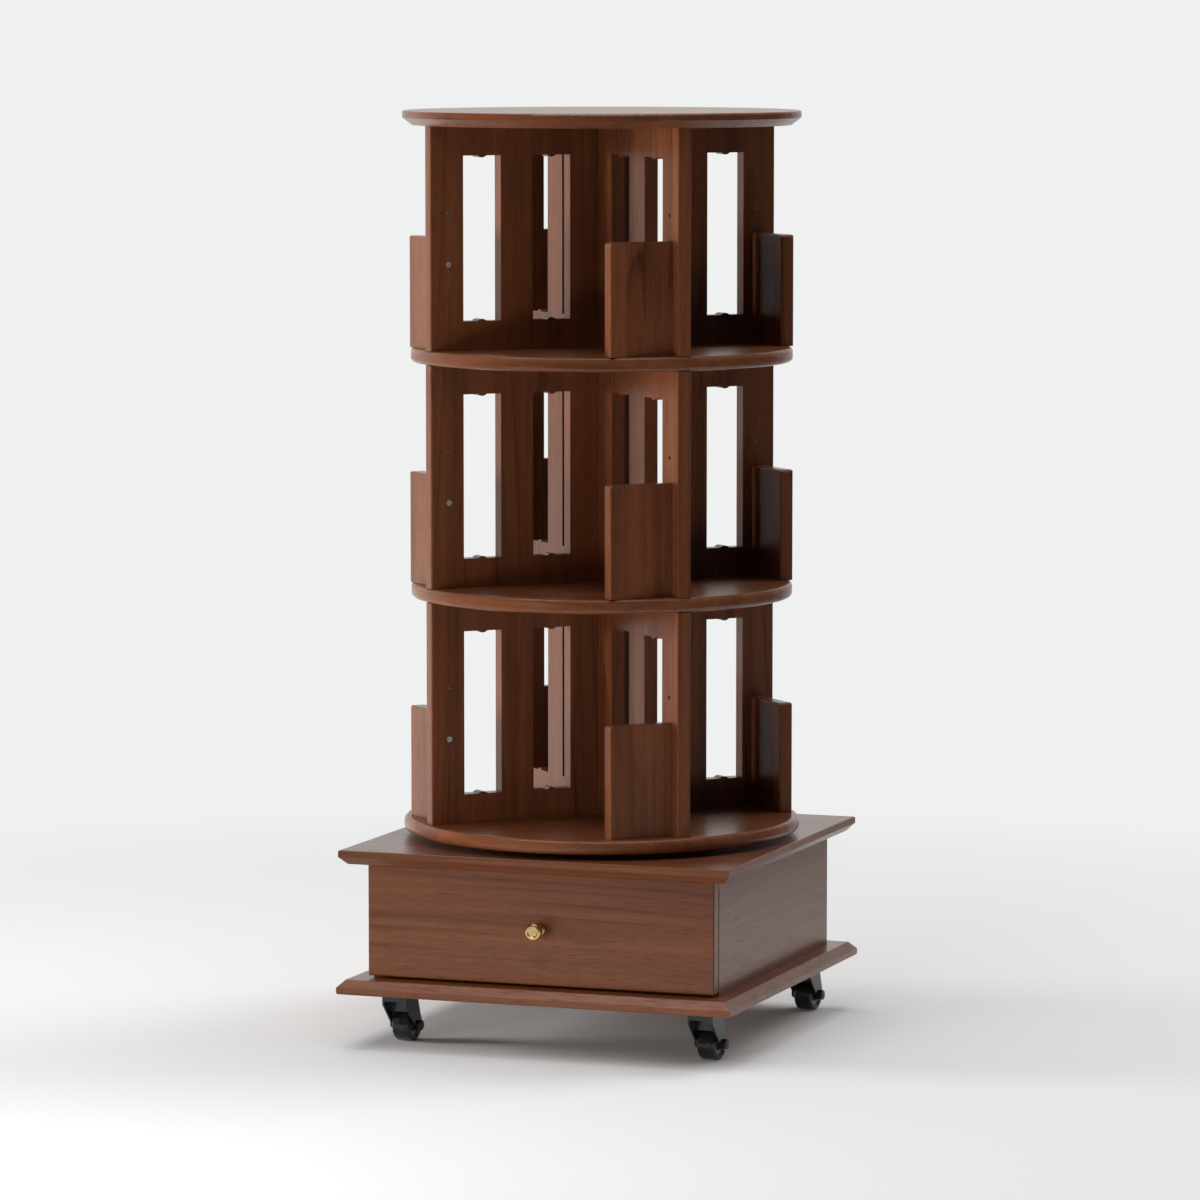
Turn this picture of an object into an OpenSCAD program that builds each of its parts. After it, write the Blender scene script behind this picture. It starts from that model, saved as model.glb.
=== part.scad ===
// Revolving bookcase: three open tiers on a turntable over a drawer base on casters.
// The origin is on the floor under the turning axis, +Z is up and the drawer faces -Y.

/* [Boards] */
// Thickness of every board of the case
board_t = 18; // [16:0.5:24]
// Rounding along the long edges of the panels and stops
arris_r = 2; // [0.5:0.25:3.5]

/* [Discs] */
// Radius of the top disc
top_disc_r = 250; // [246:1:290]
// Radius of the two shelf discs between the tiers
shelf_r = 240; // [239:1:280]
// Radius of the bottom disc
bottom_disc_r = 250; // [246:1:290]
// Rounding of the shelf discs' edges
shelf_edge_r = 5.5; // [2:0.5:7]
// Rounding of the bottom disc's edge
bottom_edge_r = 7.5; // [2:0.5:7.75]
// How far the bevel under the top disc runs inwards
disc_bevel_in = 12; // [4:1:20]
// Height of the upright nose above a moulded edge's bevel
nose_h = 8.5; // [5:0.5:11]
// Rounding on a moulded edge's nose
nose_r = 2.5; // [0.5:0.25:4]

/* [Tiers] */
// Clear height of one tier
tier_h = 278; // [240:1:330]
// Reach of each panel from the turning axis
panel_reach = 238; // [232:1:239]
// Width of the stile between the axis and the inner window
inner_stile = 48; // [30:1:52]
// Width of a window
window_w = 51; // [30:1:53]
// Width of the stile between the two windows of one arm
mid_stile = 44; // [30:1:47]
// Height of the rails over and under the windows
rail_h = 36.5; // [25:0.5:60]
// Width of the small cusp at the middle of a window's head and sill
cusp_w = 12; // [8:1:24]
// How far the cusp stands into the window
cusp_h = 2.5; // [1:0.25:5]
// Play on each side of the half-lap joint between two crossed panels
lap_gap = 0.05; // [0.02:0.01:0.2]

/* [Book stops] */
// Width of a stop, along the rim
stop_w = 84; // [70:1:110]
// Height of a stop
stop_h = 140; // [125:1:160]
// Distance from a panel's outer edge in to the stop's outer face
stop_set_back = 15; // [10:1:18]
// Rounding of a stop's two upper corners
stop_corner_r = 6; // [3:0.5:12]
// Height of the stop's screw above its shelf
stop_screw_z = 107; // [90:1:115]

/* [Drawer base] */
// Width and depth of the moulded plate over the drawer
upper_plate_w = 512; // [490:1:560]
// Width and depth of the moulded plate under the drawer
lower_plate_w = 517; // [490:1:560]
// How far a plate's bevel runs inwards
plate_bevel_in = 9.5; // [4:0.5:18]
// Width and depth of the drawer box's housing
housing_w = 455; // [440:1:465]
// Clear height between the two plates
housing_h = 145; // [130:1:180]

/* [Drawer] */
// Gap under the drawer front
front_gap_low = 3; // [1:0.5:5]
// Gap over the drawer front
front_gap_top = 2; // [1:0.5:5]
// Gap between the drawer front and the front edges of the housing's sides
front_gap_back = 1; // [0.5:0.25:3]
// Thickness of the drawer's sides and back
drawer_side_t = 14; // [12:0.5:16]
// Height of the drawer's sides
drawer_side_h = 110; // [90:1:114]
// Space under the drawer's sides
drawer_lift = 12; // [8:1:15]
// Length of the drawer's sides behind its front
drawer_len = 390; // [340:1:405]
// Gap between a drawer side and the housing
drawer_gap = 4.5; // [3:0.5:6]
// Thickness of the drawer's bottom panel
bottom_t = 6; // [4:0.5:8]
// Height of the bottom panel above the lower edge of the drawer's sides
bottom_lift = 8; // [6:0.5:12]
// How deep the bottom panel sits in its grooves
bottom_groove = 5; // [3:0.5:6]
// Play of the bottom panel in its grooves
groove_gap = 0.1; // [0.05:0.05:0.3]
// Height of the wooden runners
runner_h = 20; // [14:1:26]
// How far the runners stand out from the housing's sides
runner_out = 10; // [8:0.5:11]
// Depth of the runner groove in a drawer side
runner_groove = 7; // [6.5:0.25:8]
// Length of the runners
runner_len = 390; // [350:1:400]
// Running play over and under a runner
runner_gap = 0.3; // [0.2:0.1:1]

/* [Knob] */
// Diameter of the round knob
knob_d = 21; // [18:0.5:30]
// Thickness of the knob's head
knob_head_t = 11; // [9:0.5:14]
// Length of the knob's neck
knob_neck_l = 14; // [8:0.5:18]
// Diameter of the knob's neck
knob_neck_d = 10; // [8:0.5:12]
// Diameter of the flange at the foot of the knob's neck
knob_foot_d = 15; // [13:0.5:18]
// Radius of the rounding round the knob's rim
knob_rim_r = 3; // [1:0.25:3.75]
// Depth of the dish in the knob's face
knob_dish = 1.2; // [0.5:0.1:2]

/* [Turntable] */
// Gap between the base and the bottom disc
turntable_h = 7; // [6.5:0.25:10]
// Radius of the ball race
race_r = 134.3; // [110:0.1:160]
// Radial width of each turntable ring
ring_w = 14; // [11:0.5:18]
// Gap between the two rings, side by side
ring_gap = 1.4; // [1:0.1:1.8]
// Space over the lower ring and under the upper one
ring_clear = 0.8; // [0.5:0.1:1]
// Diameter of a ball
ball_d = 4; // [3.4:0.1:4.2]
// Play of a ball in its groove
ball_gap = 0.25; // [0.15:0.05:0.3]
// Number of balls
ball_count = 36; // [12:1:60]
// Number of screws in each ring
ring_screws = 8; // [4:1:12]

/* [Casters] */
// Height of a caster from the floor to the base
caster_h = 69; // [68:0.5:78]
// Distance of the swivel pins from the middle, left and right
caster_x = 202; // [190:1:208]
// Distance of the swivel pins from the middle, front and back
caster_y = 194; // [185:1:208]
// Degrees that the forks are turned to the right at rest
caster_turn = 5; // [-60:5:60]
// Diameter of a caster wheel
wheel_d = 41; // [36:0.5:43]
// Width of a caster wheel
wheel_w = 24; // [16:0.5:25]
// Distance of the axle behind the swivel pin
caster_trail = 27; // [20:0.5:28]
// Width of the square mounting plate
caster_plate_w = 42; // [40:1:50]
// Thickness of the plate and of the fork's steel
steel_t = 2.5; // [2.3:0.1:3]
// Radius of the fork's round crown
crown_r = 19; // [18.5:0.5:21]
// How far the fork's top reaches in front of the swivel pin
fork_front = 8.5; // [8:0.5:14]
// How far the fork's top reaches behind the swivel pin
fork_back = 30; // [24:0.5:32]
// Height of the upright part of the fork's cheeks
fork_cheek = 12; // [9:0.5:14]
// Height of the flange across the fork's front
fork_lip = 8; // [5:0.5:8.5]
// Diameter of the swivel pin
pin_d = 8; // [6:0.5:9]
// Diameter of the axle
axle_d = 6; // [5:0.5:8]
// Radial play of the pins and axles in their bores
running_gap = 0.05; // [0.02:0.01:0.09]

/* [Fasteners] */
// Diameter of the wooden dowels
dowel_d = 8; // [6:0.5:9]
// Depth of a dowel in the edge of an upright board
dowel_deep = 16; // [12:1:20]
// Wood left between two dowels that meet from both faces of a shelf
dowel_web = 3; // [2:0.5:5]
// Radial play round dowels and screws in their holes
hole_gap = 0.05; // [0.02:0.01:0.1]
// Diameter of a wood screw's shank
screw_d = 4; // [3:0.25:4.5]
// Diameter of a wood screw's countersunk head
screw_head_d = 7; // [6.5:0.25:9]
// Length of the short screws in the rings and caster plates
short_screw_l = 14; // [12:0.5:16]
// Length of the screws that hold the stops
stop_screw_l = 40; // [30:1:50]

/* [Hidden] */
$fn = 64;
TIERS = ["lower", "middle", "upper"];
SIDES = ["right", "back", "left", "front"];
CORNERS = ["front_left", "front_right", "back_left", "back_right"];

walnut = "#6b4030";
beech = "#c9a577";
steel = "#a9abad";
black = "#17181a";

// Heights, from the floor up
base_bottom_z = caster_h;
housing_z = base_bottom_z + board_t;
base_top_z = housing_z + housing_h;
turntable_z = base_top_z + board_t;
carousel_z = turntable_z + turntable_h;
tier_step = tier_h + board_t;
housing_half = housing_w / 2;
inner_half = housing_half - board_t;
front_back_y = -housing_half + board_t;

eps = 0.01;
function disc_z(level) = carousel_z + level * tier_step;
function tier_z(tier) = disc_z(tier) + board_t;
function arm_angle(arm) = 45 + 90 * arm;

// Where the dowels stand in one arm, and where the stop's screw and dowel go
window_1 = inner_stile;
window_2 = inner_stile + window_w + mid_stile;
dowel_places = [window_1 + window_w / 2, window_2 + window_w / 2];
stop_middle = panel_reach - stop_set_back - board_t / 2;
stop_dowel_s = board_t / 2 + stop_w * 2 / 3;
dowel_in_disc = (board_t - dowel_web) / 2;
dowel_l = dowel_in_disc + dowel_deep;
dowel_tip = 1;
pilot_extra = 1;
screw_rim = 0.2;
screw_head_h = (screw_head_d - screw_d) / 2 + screw_rim;
driver_w = 0.9;
driver_l = screw_head_d * 0.55;
driver_deep = 1.3;
clear_hole_d = screw_d + 1;

// Outline of a moulded edge, upright nose on top and bevel below, out to the given reach
module moulded_profile(reach, bevel_in) {
    polygon([
        [0, 0], [reach - bevel_in, 0], [reach, board_t - nose_h], [reach, board_t - nose_r],
        [reach - nose_r, board_t], [0, board_t]
    ]);
    translate([reach - nose_r, board_t - nose_r]) circle(nose_r);
}

// Outline of a board's edge with both arrises rounded
module rounded_profile(reach, edge_r) {
    square([reach - edge_r, board_t]);
    translate([0, edge_r]) square([reach, board_t - 2 * edge_r]);
    for (y = [edge_r, board_t - edge_r]) translate([reach - edge_r, y]) circle(edge_r);
}

// Rectangle with rounded corners, centred
module rounded_square(size, r) {
    square([size.x - 2 * r, size.y], center = true);
    square([size.x, size.y - 2 * r], center = true);
    for (x = [-1, 1], y = [-1, 1]) translate([x * (size.x / 2 - r), y * (size.y / 2 - r)]) circle(r);
}

// Board with every edge rounded, centred: three crossing outlines meet in it
module soft_board(size, r) {
    intersection() {
        linear_extrude(size.z, center = true) rounded_square([size.x, size.y], r);
        rotate([90, 0, 0]) linear_extrude(size.y, center = true) rounded_square([size.x, size.z], r);
        rotate([90, 0, 90]) linear_extrude(size.x, center = true) rounded_square([size.y, size.z], r);
    }
}

// Screws and dowels

// Countersunk wood screw, its head's face on the plane z = 0 and its point down
module wood_screw(length) {
    point_l = screw_d;
    point_r = 0.4;
    difference() {
        rotate_extrude() polygon([
            [0, 0], [screw_head_d / 2, 0], [screw_head_d / 2, -screw_rim], [screw_d / 2, -screw_head_h],
            [screw_d / 2, point_l - length], [point_r, -length], [0, -length]
        ]);
        for (a = [0, 90]) rotate(a) translate([0, 0, -driver_deep / 2])
            cube([driver_l, driver_w, driver_deep + eps], center = true);
    }
}

// Hole for a wood screw, with its countersink, head's face on the plane z = 0. Through that
// much wood or steel the shank passes freely, so that the screw draws the two pieces together.
module screw_hole(length, through) {
    hole_r = screw_d / 2 + hole_gap;
    head_r = screw_head_d / 2 + hole_gap;
    translate([0, 0, -length - pilot_extra]) cylinder(h = length + pilot_extra, r = hole_r);
    rotate_extrude() polygon([
        [0, 1], [head_r, 1], [head_r, -screw_rim - hole_gap], [hole_r, -screw_head_h - hole_gap],
        [0, -screw_head_h - hole_gap]
    ]);
    if (through > 0) translate([0, 0, -through]) cylinder(h = through, r = clear_hole_d / 2);
}

// Dowel with its deeper end up and its joint on the plane z = 0
module dowel() {
    translate([0, 0, -dowel_in_disc]) rotate_extrude() polygon([
        [0, 0], [dowel_d / 2 - dowel_tip, 0], [dowel_d / 2, dowel_tip], [dowel_d / 2, dowel_l - dowel_tip],
        [dowel_d / 2 - dowel_tip, dowel_l], [0, dowel_l]
    ]);
}

// Blind hole for a dowel's end, from the plane z = 0 up
module dowel_hole(depth) {
    translate([0, 0, -eps]) cylinder(h = depth + hole_gap + eps, r = dowel_d / 2 + hole_gap);
}

// Every place where an arm stands on or hangs from a disc
module at_arm_dowels() {
    for (arm = [0:3], u = dowel_places) rotate(arm_angle(arm)) translate([u, 0, 0]) children();
}

// Every place where a stop stands on its disc
module at_stop_dowels() {
    for (arm = [0:3]) rotate(arm_angle(arm)) translate([stop_middle, -stop_dowel_s, 0]) children();
}

// Points on a circle round the turning axis
module round_the_axis(count, r) {
    for (i = [0:count - 1]) rotate(360 * i / count) translate([r, 0, 0]) children();
}

// Discs

// Dowel holes in a disc's upper face, for the arms and the stops
module holes_above() {
    translate([0, 0, board_t]) mirror([0, 0, 1]) {
        at_arm_dowels() dowel_hole(dowel_in_disc);
        at_stop_dowels() dowel_hole(dowel_in_disc);
    }
}

// Dowel holes in a disc's lower face
module holes_below() {
    at_arm_dowels() dowel_hole(dowel_in_disc);
}

module top_disc() {
    color(walnut) translate([0, 0, disc_z(3)]) difference() {
        rotate_extrude($fn = 180) moulded_profile(top_disc_r, disc_bevel_in);
        holes_below();
    }
}

module shelf_disc(level) {
    color(walnut) translate([0, 0, disc_z(level)]) difference() {
        rotate_extrude($fn = 180) rounded_profile(shelf_r, shelf_edge_r);
        holes_above();
        holes_below();
    }
}

module bottom_disc() {
    color(walnut) translate([0, 0, disc_z(0)]) difference() {
        rotate_extrude($fn = 180) rounded_profile(bottom_disc_r, bottom_edge_r);
        holes_above();
        mirror([0, 0, 1]) round_the_axis(ring_screws, upper_screw_r) screw_shank_hole(ring_bite);
    }
}

// Panels and stops

// Window of one arm, with a small cusp at the middle of its head and sill
module window_outline() {
    window_h = tier_h - 2 * rail_h;
    cusp_r = (pow(cusp_w / 2, 2) + cusp_h * cusp_h) / (2 * cusp_h);
    difference() {
        translate([0, rail_h]) square([window_w, window_h]);
        for (y = [rail_h + cusp_h - cusp_r, tier_h - rail_h - cusp_h + cusp_r])
            translate([window_w / 2, y]) circle(cusp_r, $fn = 128);
    }
}

// Crossed panel: way 0 runs along arms 0 and 2 and is slotted from above, way 1 from below
module panel(tier, way) {
    lap_h = tier_h / 2;
    color(walnut) translate([0, 0, tier_z(tier)]) rotate(arm_angle(way)) difference() {
        linear_extrude(tier_h) rounded_square([2 * panel_reach, board_t], arris_r);
        translate([0, 0, way == 0 ? lap_h : -eps]) linear_extrude(lap_h + eps)
            square(board_t + 2 * lap_gap, center = true);
        for (half = [0, 180]) rotate(half) {
            for (u = [window_1, window_2]) translate([u, board_t / 2 + eps, 0])
                rotate([90, 0, 0]) linear_extrude(board_t + 2 * eps) window_outline();
            for (u = dowel_places) translate([u, 0, 0]) {
                dowel_hole(dowel_deep);
                translate([0, 0, tier_h]) mirror([0, 0, 1]) dowel_hole(dowel_deep);
            }
            at_stop_screw() screw_hole(board_t, board_t + eps);
            translate([stop_middle, board_t / 2 + eps, tier_h - stop_screw_z])
                rotate([90, 0, 0]) cylinder(h = board_t + 2 * eps, r = clear_hole_d / 2);
        }
    }
}

// Place of a stop's screw in its arm, head outwards on the arm's far face
module at_stop_screw() {
    translate([stop_middle, board_t / 2, stop_screw_z]) rotate([-90, 0, 0]) children();
}

// Hole for a screw's shank in the piece that it bites, from the plane z = 0 down
module screw_shank_hole(length) {
    translate([0, 0, -length - pilot_extra])
        cylinder(h = length + pilot_extra + 1, r = screw_d / 2 + hole_gap);
}

module book_stop(tier, arm) {
    color(walnut) translate([0, 0, tier_z(tier)]) rotate(arm_angle(arm)) difference() {
        translate([stop_middle, -board_t / 2 - stop_w / 2, 0]) stop_blank();
        at_stop_screw() screw_shank_hole(stop_screw_l);
        translate([stop_middle, -stop_dowel_s, 0]) dowel_hole(dowel_deep);
    }
}

// Stop with its upper corners rounded, its long arrises softened and its foot and inner end square
module stop_blank() {
    intersection() {
        translate([0, 0, stop_h / 2]) rotate([90, 0, 90]) linear_extrude(board_t, center = true)
            rounded_top([stop_w, stop_h], stop_corner_r);
        linear_extrude(stop_h) rotate(180) rounded_top([board_t, stop_w], arris_r);
        translate([0, 0, stop_h / 2]) rotate([90, 0, 0]) linear_extrude(stop_w, center = true)
            rounded_top([board_t, stop_h], arris_r);
    }
}

// Rectangle with its two upper corners rounded, centred
module rounded_top(size, r) {
    rounded_square(size, r);
    translate([-size.x / 2, -size.y / 2]) square([size.x, size.y / 2]);
}

// Drawer base

// Square plate with a mitred, moulded edge, its nose on top
module moulded_plate(width) {
    intersection() {
        mitred_slab(width, 0);
        mitred_slab(width, 90);
    }
}

// One pair of moulded edges of a plate, run right across it
module mitred_slab(width, turn) {
    rotate([90, 0, turn]) linear_extrude(width + 2, center = true) {
        moulded_profile(width / 2, plate_bevel_in);
        mirror([1, 0, 0]) moulded_profile(width / 2, plate_bevel_in);
    }
}

// Where the housing's boards are dowelled to the plates
module at_base_dowels() {
    board_middle = housing_half - board_t / 2;
    side_y = housing_half * 0.6;
    for (x = [-1, 1], y = [-1, 1]) translate([x * board_middle, y * side_y, 0]) children();
    for (x = [-1, 1]) translate([x * housing_half / 2, board_middle, 0]) children();
}

module base_top() {
    color(walnut) translate([0, 0, base_top_z]) difference() {
        moulded_plate(upper_plate_w);
        at_base_dowels() dowel_hole(dowel_in_disc);
        translate([0, 0, board_t]) round_the_axis(ring_screws, lower_screw_r) screw_shank_hole(ring_bite);
    }
}

module base_bottom() {
    color(walnut) translate([0, 0, base_bottom_z]) difference() {
        translate([0, 0, board_t]) mirror([0, 0, 1]) moulded_plate(lower_plate_w);
        translate([0, 0, board_t]) mirror([0, 0, 1]) at_base_dowels() dowel_hole(dowel_in_disc);
        at_casters() at_plate_screws() mirror([0, 0, 1]) screw_shank_hole(short_screw_l - steel_t);
    }
}

module housing_dowel_holes() {
    translate([0, 0, housing_z]) at_base_dowels() {
        dowel_hole(dowel_deep);
        translate([0, 0, housing_h]) mirror([0, 0, 1]) dowel_hole(dowel_deep);
    }
}

module base_side(side) {
    length = housing_w - board_t - front_gap_back;
    color(walnut) difference() {
        translate([side * (housing_half - board_t / 2), housing_half - length / 2, housing_z])
            linear_extrude(housing_h) rounded_square([board_t, length], arris_r / 2);
        housing_dowel_holes();
    }
}

module base_back() {
    color(walnut) difference() {
        translate([-inner_half, inner_half, housing_z]) cube([2 * inner_half, board_t, housing_h]);
        housing_dowel_holes();
    }
}

// Drawer

drawer_z = housing_z + drawer_lift;
drawer_half = inner_half - drawer_gap;
drawer_inner = drawer_half - drawer_side_t;
runner_z = drawer_z + drawer_side_h / 2;
front_h = housing_h - front_gap_low - front_gap_top;
front_z = housing_z + front_gap_low + front_h / 2;
panel_z = drawer_z + bottom_lift;

// Space of the bottom panel, grown by the given play
module bottom_space(play) {
    width = 2 * (drawer_inner + bottom_groove);
    translate([-width / 2 - play, front_back_y - bottom_groove - play, panel_z - play])
        cube([width + 2 * play, drawer_len + bottom_groove + 2 * play, bottom_t + 2 * play]);
}

module drawer_front() {
    color(walnut) difference() {
        translate([0, -housing_half + board_t / 2, front_z])
            soft_board([housing_w, board_t, front_h], arris_r);
        bottom_space(groove_gap);
        translate([0, front_back_y + eps, front_z]) rotate([90, 0, 0])
            cylinder(h = board_t + 1, r = screw_d / 2 + hole_gap);
    }
}

module drawer_side(side) {
    groove_h = runner_h + 2 * runner_gap;
    color(beech) difference() {
        translate([side > 0 ? drawer_inner : -drawer_half, front_back_y, drawer_z])
            cube([drawer_side_t, drawer_len, drawer_side_h]);
        bottom_space(groove_gap);
        translate([side * drawer_half - runner_groove, front_back_y - eps, runner_z - groove_h / 2])
            cube([2 * runner_groove, drawer_len + 2 * eps, groove_h]);
    }
}

module drawer_back() {
    low = panel_z + bottom_t + groove_gap;
    color(beech) translate([-drawer_inner, front_back_y + drawer_len - drawer_side_t, low])
        cube([2 * drawer_inner, drawer_side_t, drawer_z + drawer_side_h - low]);
}

module drawer_bottom() {
    color(beech) bottom_space(0);
}

module runner(side) {
    inner_x = side > 0 ? inner_half - runner_out : -inner_half;
    color(beech) translate([inner_x, runner_y, runner_z - runner_h / 2])
        cube([runner_out, runner_len, runner_h]);
}

// The runners start behind the drawer front and stop short of the housing's back
runner_start = 5;
runner_y = front_back_y + runner_start;

// Turned knob: flanged foot, neck and a rounded head with a dished face
module knob() {
    face_z = knob_neck_l + knob_head_t;
    color("#c9a24a") translate([0, -housing_half, front_z]) rotate([90, 0, 0]) difference() {
        rotate_extrude() knob_section();
        translate([0, 0, face_z - knob_dish]) rotate_extrude() dish_section();
        translate([0, 0, -eps]) cylinder(h = knob_neck_l + knob_head_t / 3, r = screw_d / 2 + hole_gap);
    }
}

// Half section of the knob, its axis upright
module knob_section() {
    head_r = knob_d / 2;
    foot_t = 1.8;
    taper = 0.8;
    square([knob_neck_d / 2, knob_neck_l + 1]);
    square([knob_foot_d / 2 - foot_t / 2, foot_t]);
    translate([knob_foot_d / 2 - foot_t / 2, foot_t / 2]) circle(foot_t / 2);
    polygon([
        [0, knob_neck_l - 1], [knob_neck_d / 2, knob_neck_l - 1], [head_r - knob_rim_r, knob_neck_l + taper],
        [head_r - knob_rim_r, knob_neck_l + knob_head_t], [0, knob_neck_l + knob_head_t]
    ]);
    for (z = [knob_rim_r + taper, knob_head_t - knob_rim_r])
        translate([head_r - knob_rim_r, knob_neck_l + z]) circle(knob_rim_r);
    translate([0, knob_neck_l + knob_rim_r + taper])
        square([head_r, knob_head_t - 2 * knob_rim_r - taper]);
}

// Half section of the shallow dish that is turned out of the knob's face
module dish_section() {
    dish_r = knob_d / 2 - knob_rim_r - 0.5;
    polygon([[0, 0], [dish_r - knob_dish, 0], [dish_r + eps, knob_dish + eps], [0, knob_dish + eps]]);
}

// Round-headed screw from inside the drawer into the knob
module knob_screw() {
    head_h = 2.4;
    length = board_t + knob_neck_l;
    color(steel) translate([0, front_back_y, front_z]) rotate([90, 0, 0]) difference() {
        union() {
            translate([0, 0, -head_h]) rotate_extrude() {
                square([screw_head_d / 2 - head_h / 2, head_h]);
                translate([0, head_h / 2]) square([screw_head_d / 2, head_h / 2]);
                translate([screw_head_d / 2 - head_h / 2, head_h / 2]) circle(head_h / 2);
            }
            cylinder(h = length, r = screw_d / 2);
        }
        for (a = [0, 90]) rotate(a) translate([0, 0, -head_h])
            cube([driver_l, driver_w, head_h], center = true);
    }
}

// Turntable

ring_h = turntable_h - ring_clear;
lower_ring_in = race_r + ring_gap / 2;
upper_ring_out = race_r - ring_gap / 2;
lower_screw_r = lower_ring_in + ring_w / 2;
upper_screw_r = upper_ring_out - ring_w / 2;
ball_z = turntable_z + turntable_h / 2;
ring_bite = short_screw_l - ring_h;

module race_groove() {
    translate([0, 0, ball_z]) rotate_extrude($fn = 180) translate([race_r, 0])
        circle(ball_d / 2 + ball_gap, $fn = 48);
}

module turntable_ring(inner, outer, low) {
    difference() {
        translate([0, 0, low]) rotate_extrude($fn = 180) translate([inner, 0])
            square([outer - inner, ring_h]);
        race_groove();
        children();
    }
}

module turntable_lower_ring() {
    color(steel) turntable_ring(lower_ring_in, lower_ring_in + ring_w, turntable_z)
        translate([0, 0, turntable_z + ring_h]) round_the_axis(ring_screws, lower_screw_r)
            screw_hole(ring_h, 0);
}

module turntable_upper_ring() {
    color(steel) turntable_ring(upper_ring_out - ring_w, upper_ring_out, carousel_z - ring_h)
        translate([0, 0, carousel_z - ring_h]) mirror([0, 0, 1])
            round_the_axis(ring_screws, upper_screw_r) screw_hole(ring_h, 0);
}

module turntable_balls() {
    color(steel) translate([0, 0, ball_z]) round_the_axis(ball_count, race_r) sphere(ball_d / 2, $fn = 32);
}

// Fasteners of the whole case

module stop_screws() {
    color(steel) for (tier = [0:2], arm = [0:3])
        translate([0, 0, tier_z(tier)]) rotate(arm_angle(arm)) at_stop_screw() wood_screw(stop_screw_l);
}

module disc_screws() {
    color(steel) translate([0, 0, carousel_z - ring_h]) mirror([0, 0, 1])
        round_the_axis(ring_screws, upper_screw_r) wood_screw(short_screw_l);
}

module base_screws() {
    color(steel) {
        translate([0, 0, turntable_z + ring_h]) round_the_axis(ring_screws, lower_screw_r)
            wood_screw(short_screw_l);
        translate([0, 0, base_bottom_z - steel_t]) at_casters() at_plate_screws() mirror([0, 0, 1])
            wood_screw(short_screw_l);
    }
}

module case_dowels() {
    color(beech) for (tier = [0:2]) {
        translate([0, 0, tier_z(tier)]) {
            at_arm_dowels() dowel();
            at_stop_dowels() dowel();
        }
        translate([0, 0, tier_z(tier) + tier_h]) mirror([0, 0, 1]) at_arm_dowels() dowel();
    }
}

module base_dowels() {
    color(beech) {
        translate([0, 0, housing_z]) at_base_dowels() dowel();
        translate([0, 0, base_top_z]) mirror([0, 0, 1]) at_base_dowels() dowel();
    }
}

// Casters

crown_gap = 0.3;
leg_gap = 2.5;
fork_corner_r = 6;
crown_edge_r = 1.2;
race_h = 2.2;
race_in = 5.5;
pin_head_h = 3.5;
pin_head_gap = 0.4;
pin_head_r = 1.2;
plate_corner_r = 4;
crown_z = caster_h - steel_t - race_h - crown_gap - steel_t;
hub_z = wheel_d / 2;
leg_x = wheel_w / 2 + leg_gap;
boss_r = axle_d / 2 + 5;
plate_edge = 5.5;
plate_hole = caster_plate_w / 2 - plate_edge;
function caster_place(i) = [(i % 2 == 0 ? -1 : 1) * caster_x, (i < 2 ? -1 : 1) * caster_y, 0];

module at_casters() {
    for (i = [0:3]) translate(caster_place(i)) children();
}

module at_plate_screws() {
    for (x = [-1, 1], y = [-1, 1]) translate([x * plate_hole, y * plate_hole, 0]) children();
}

// Turns a caster's fork, with its axle behind the pin
module at_fork(i) {
    translate(caster_place(i)) rotate(-caster_turn) children();
}

// Mounting plate with its ball race, swivel pin and the pin's riveted head
module caster_plate(i) {
    pin_head_rim = fork_front - steel_t - pin_head_gap;
    color(black) translate(caster_place(i)) difference() {
        union() {
            translate([0, 0, caster_h - steel_t]) linear_extrude(steel_t)
                rounded_square([caster_plate_w, caster_plate_w], plate_corner_r);
            translate([0, 0, crown_z + steel_t + crown_gap])
                cylinder(h = race_h + eps, r = crown_r - race_in);
            translate([0, 0, crown_z - crown_gap])
                cylinder(h = race_h + steel_t + 2 * crown_gap + eps, r = pin_d / 2);
            translate([0, 0, crown_z - crown_gap - pin_head_h]) rotate_extrude() {
                square([pin_head_rim - pin_head_r, pin_head_h]);
                translate([0, pin_head_r]) square([pin_head_rim, pin_head_h - pin_head_r]);
                translate([pin_head_rim - pin_head_r, pin_head_r]) circle(pin_head_r);
            }
        }
        translate([0, 0, caster_h - steel_t]) at_plate_screws() mirror([0, 0, 1]) screw_hole(steel_t + 1, 0);
    }
}

// Point where a line from p touches the boss round c, on the given side
function touch(p, c, r, side) =
    let (d = c - p, away = norm(d), turn = side * acos(r / away), back = -d / away)
    c + r * [back.x * cos(turn) - back.y * sin(turn), back.x * sin(turn) + back.y * cos(turn)];

// Fork: round crown on a top plate, two legs that sweep back to the axle and a flange in front
module caster_fork(i) {
    color(black) at_fork(i) difference() {
        union() {
            translate([0, 0, crown_z]) {
                rotate_extrude() crown_outline();
                linear_extrude(steel_t) fork_top();
            }
            for (side = [-1, 1]) translate([side > 0 ? leg_x : -leg_x - steel_t, 0, 0])
                rotate([90, 0, 90]) linear_extrude(steel_t) fork_leg();
            translate([-leg_x - eps, -fork_front, crown_z - fork_lip])
                cube([2 * (leg_x + eps), steel_t, fork_lip + eps]);
        }
        translate([0, 0, crown_z - 1]) cylinder(h = steel_t + 2, r = pin_d / 2 + running_gap);
        translate([0, caster_trail, hub_z]) rotate([0, 90, 0])
            cylinder(h = 4 * leg_x, r = axle_d / 2 + running_gap, center = true);
    }
}

// Section of the crown: a flat floor with a rim turned up round the ball race
module crown_outline() {
    edge_in = crown_r - crown_edge_r;
    square([edge_in, steel_t]);
    translate([edge_in - crown_edge_r, crown_edge_r])
        square([2 * crown_edge_r, steel_t + race_h - crown_edge_r]);
    translate([edge_in, crown_edge_r]) circle(crown_edge_r);
}

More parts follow.
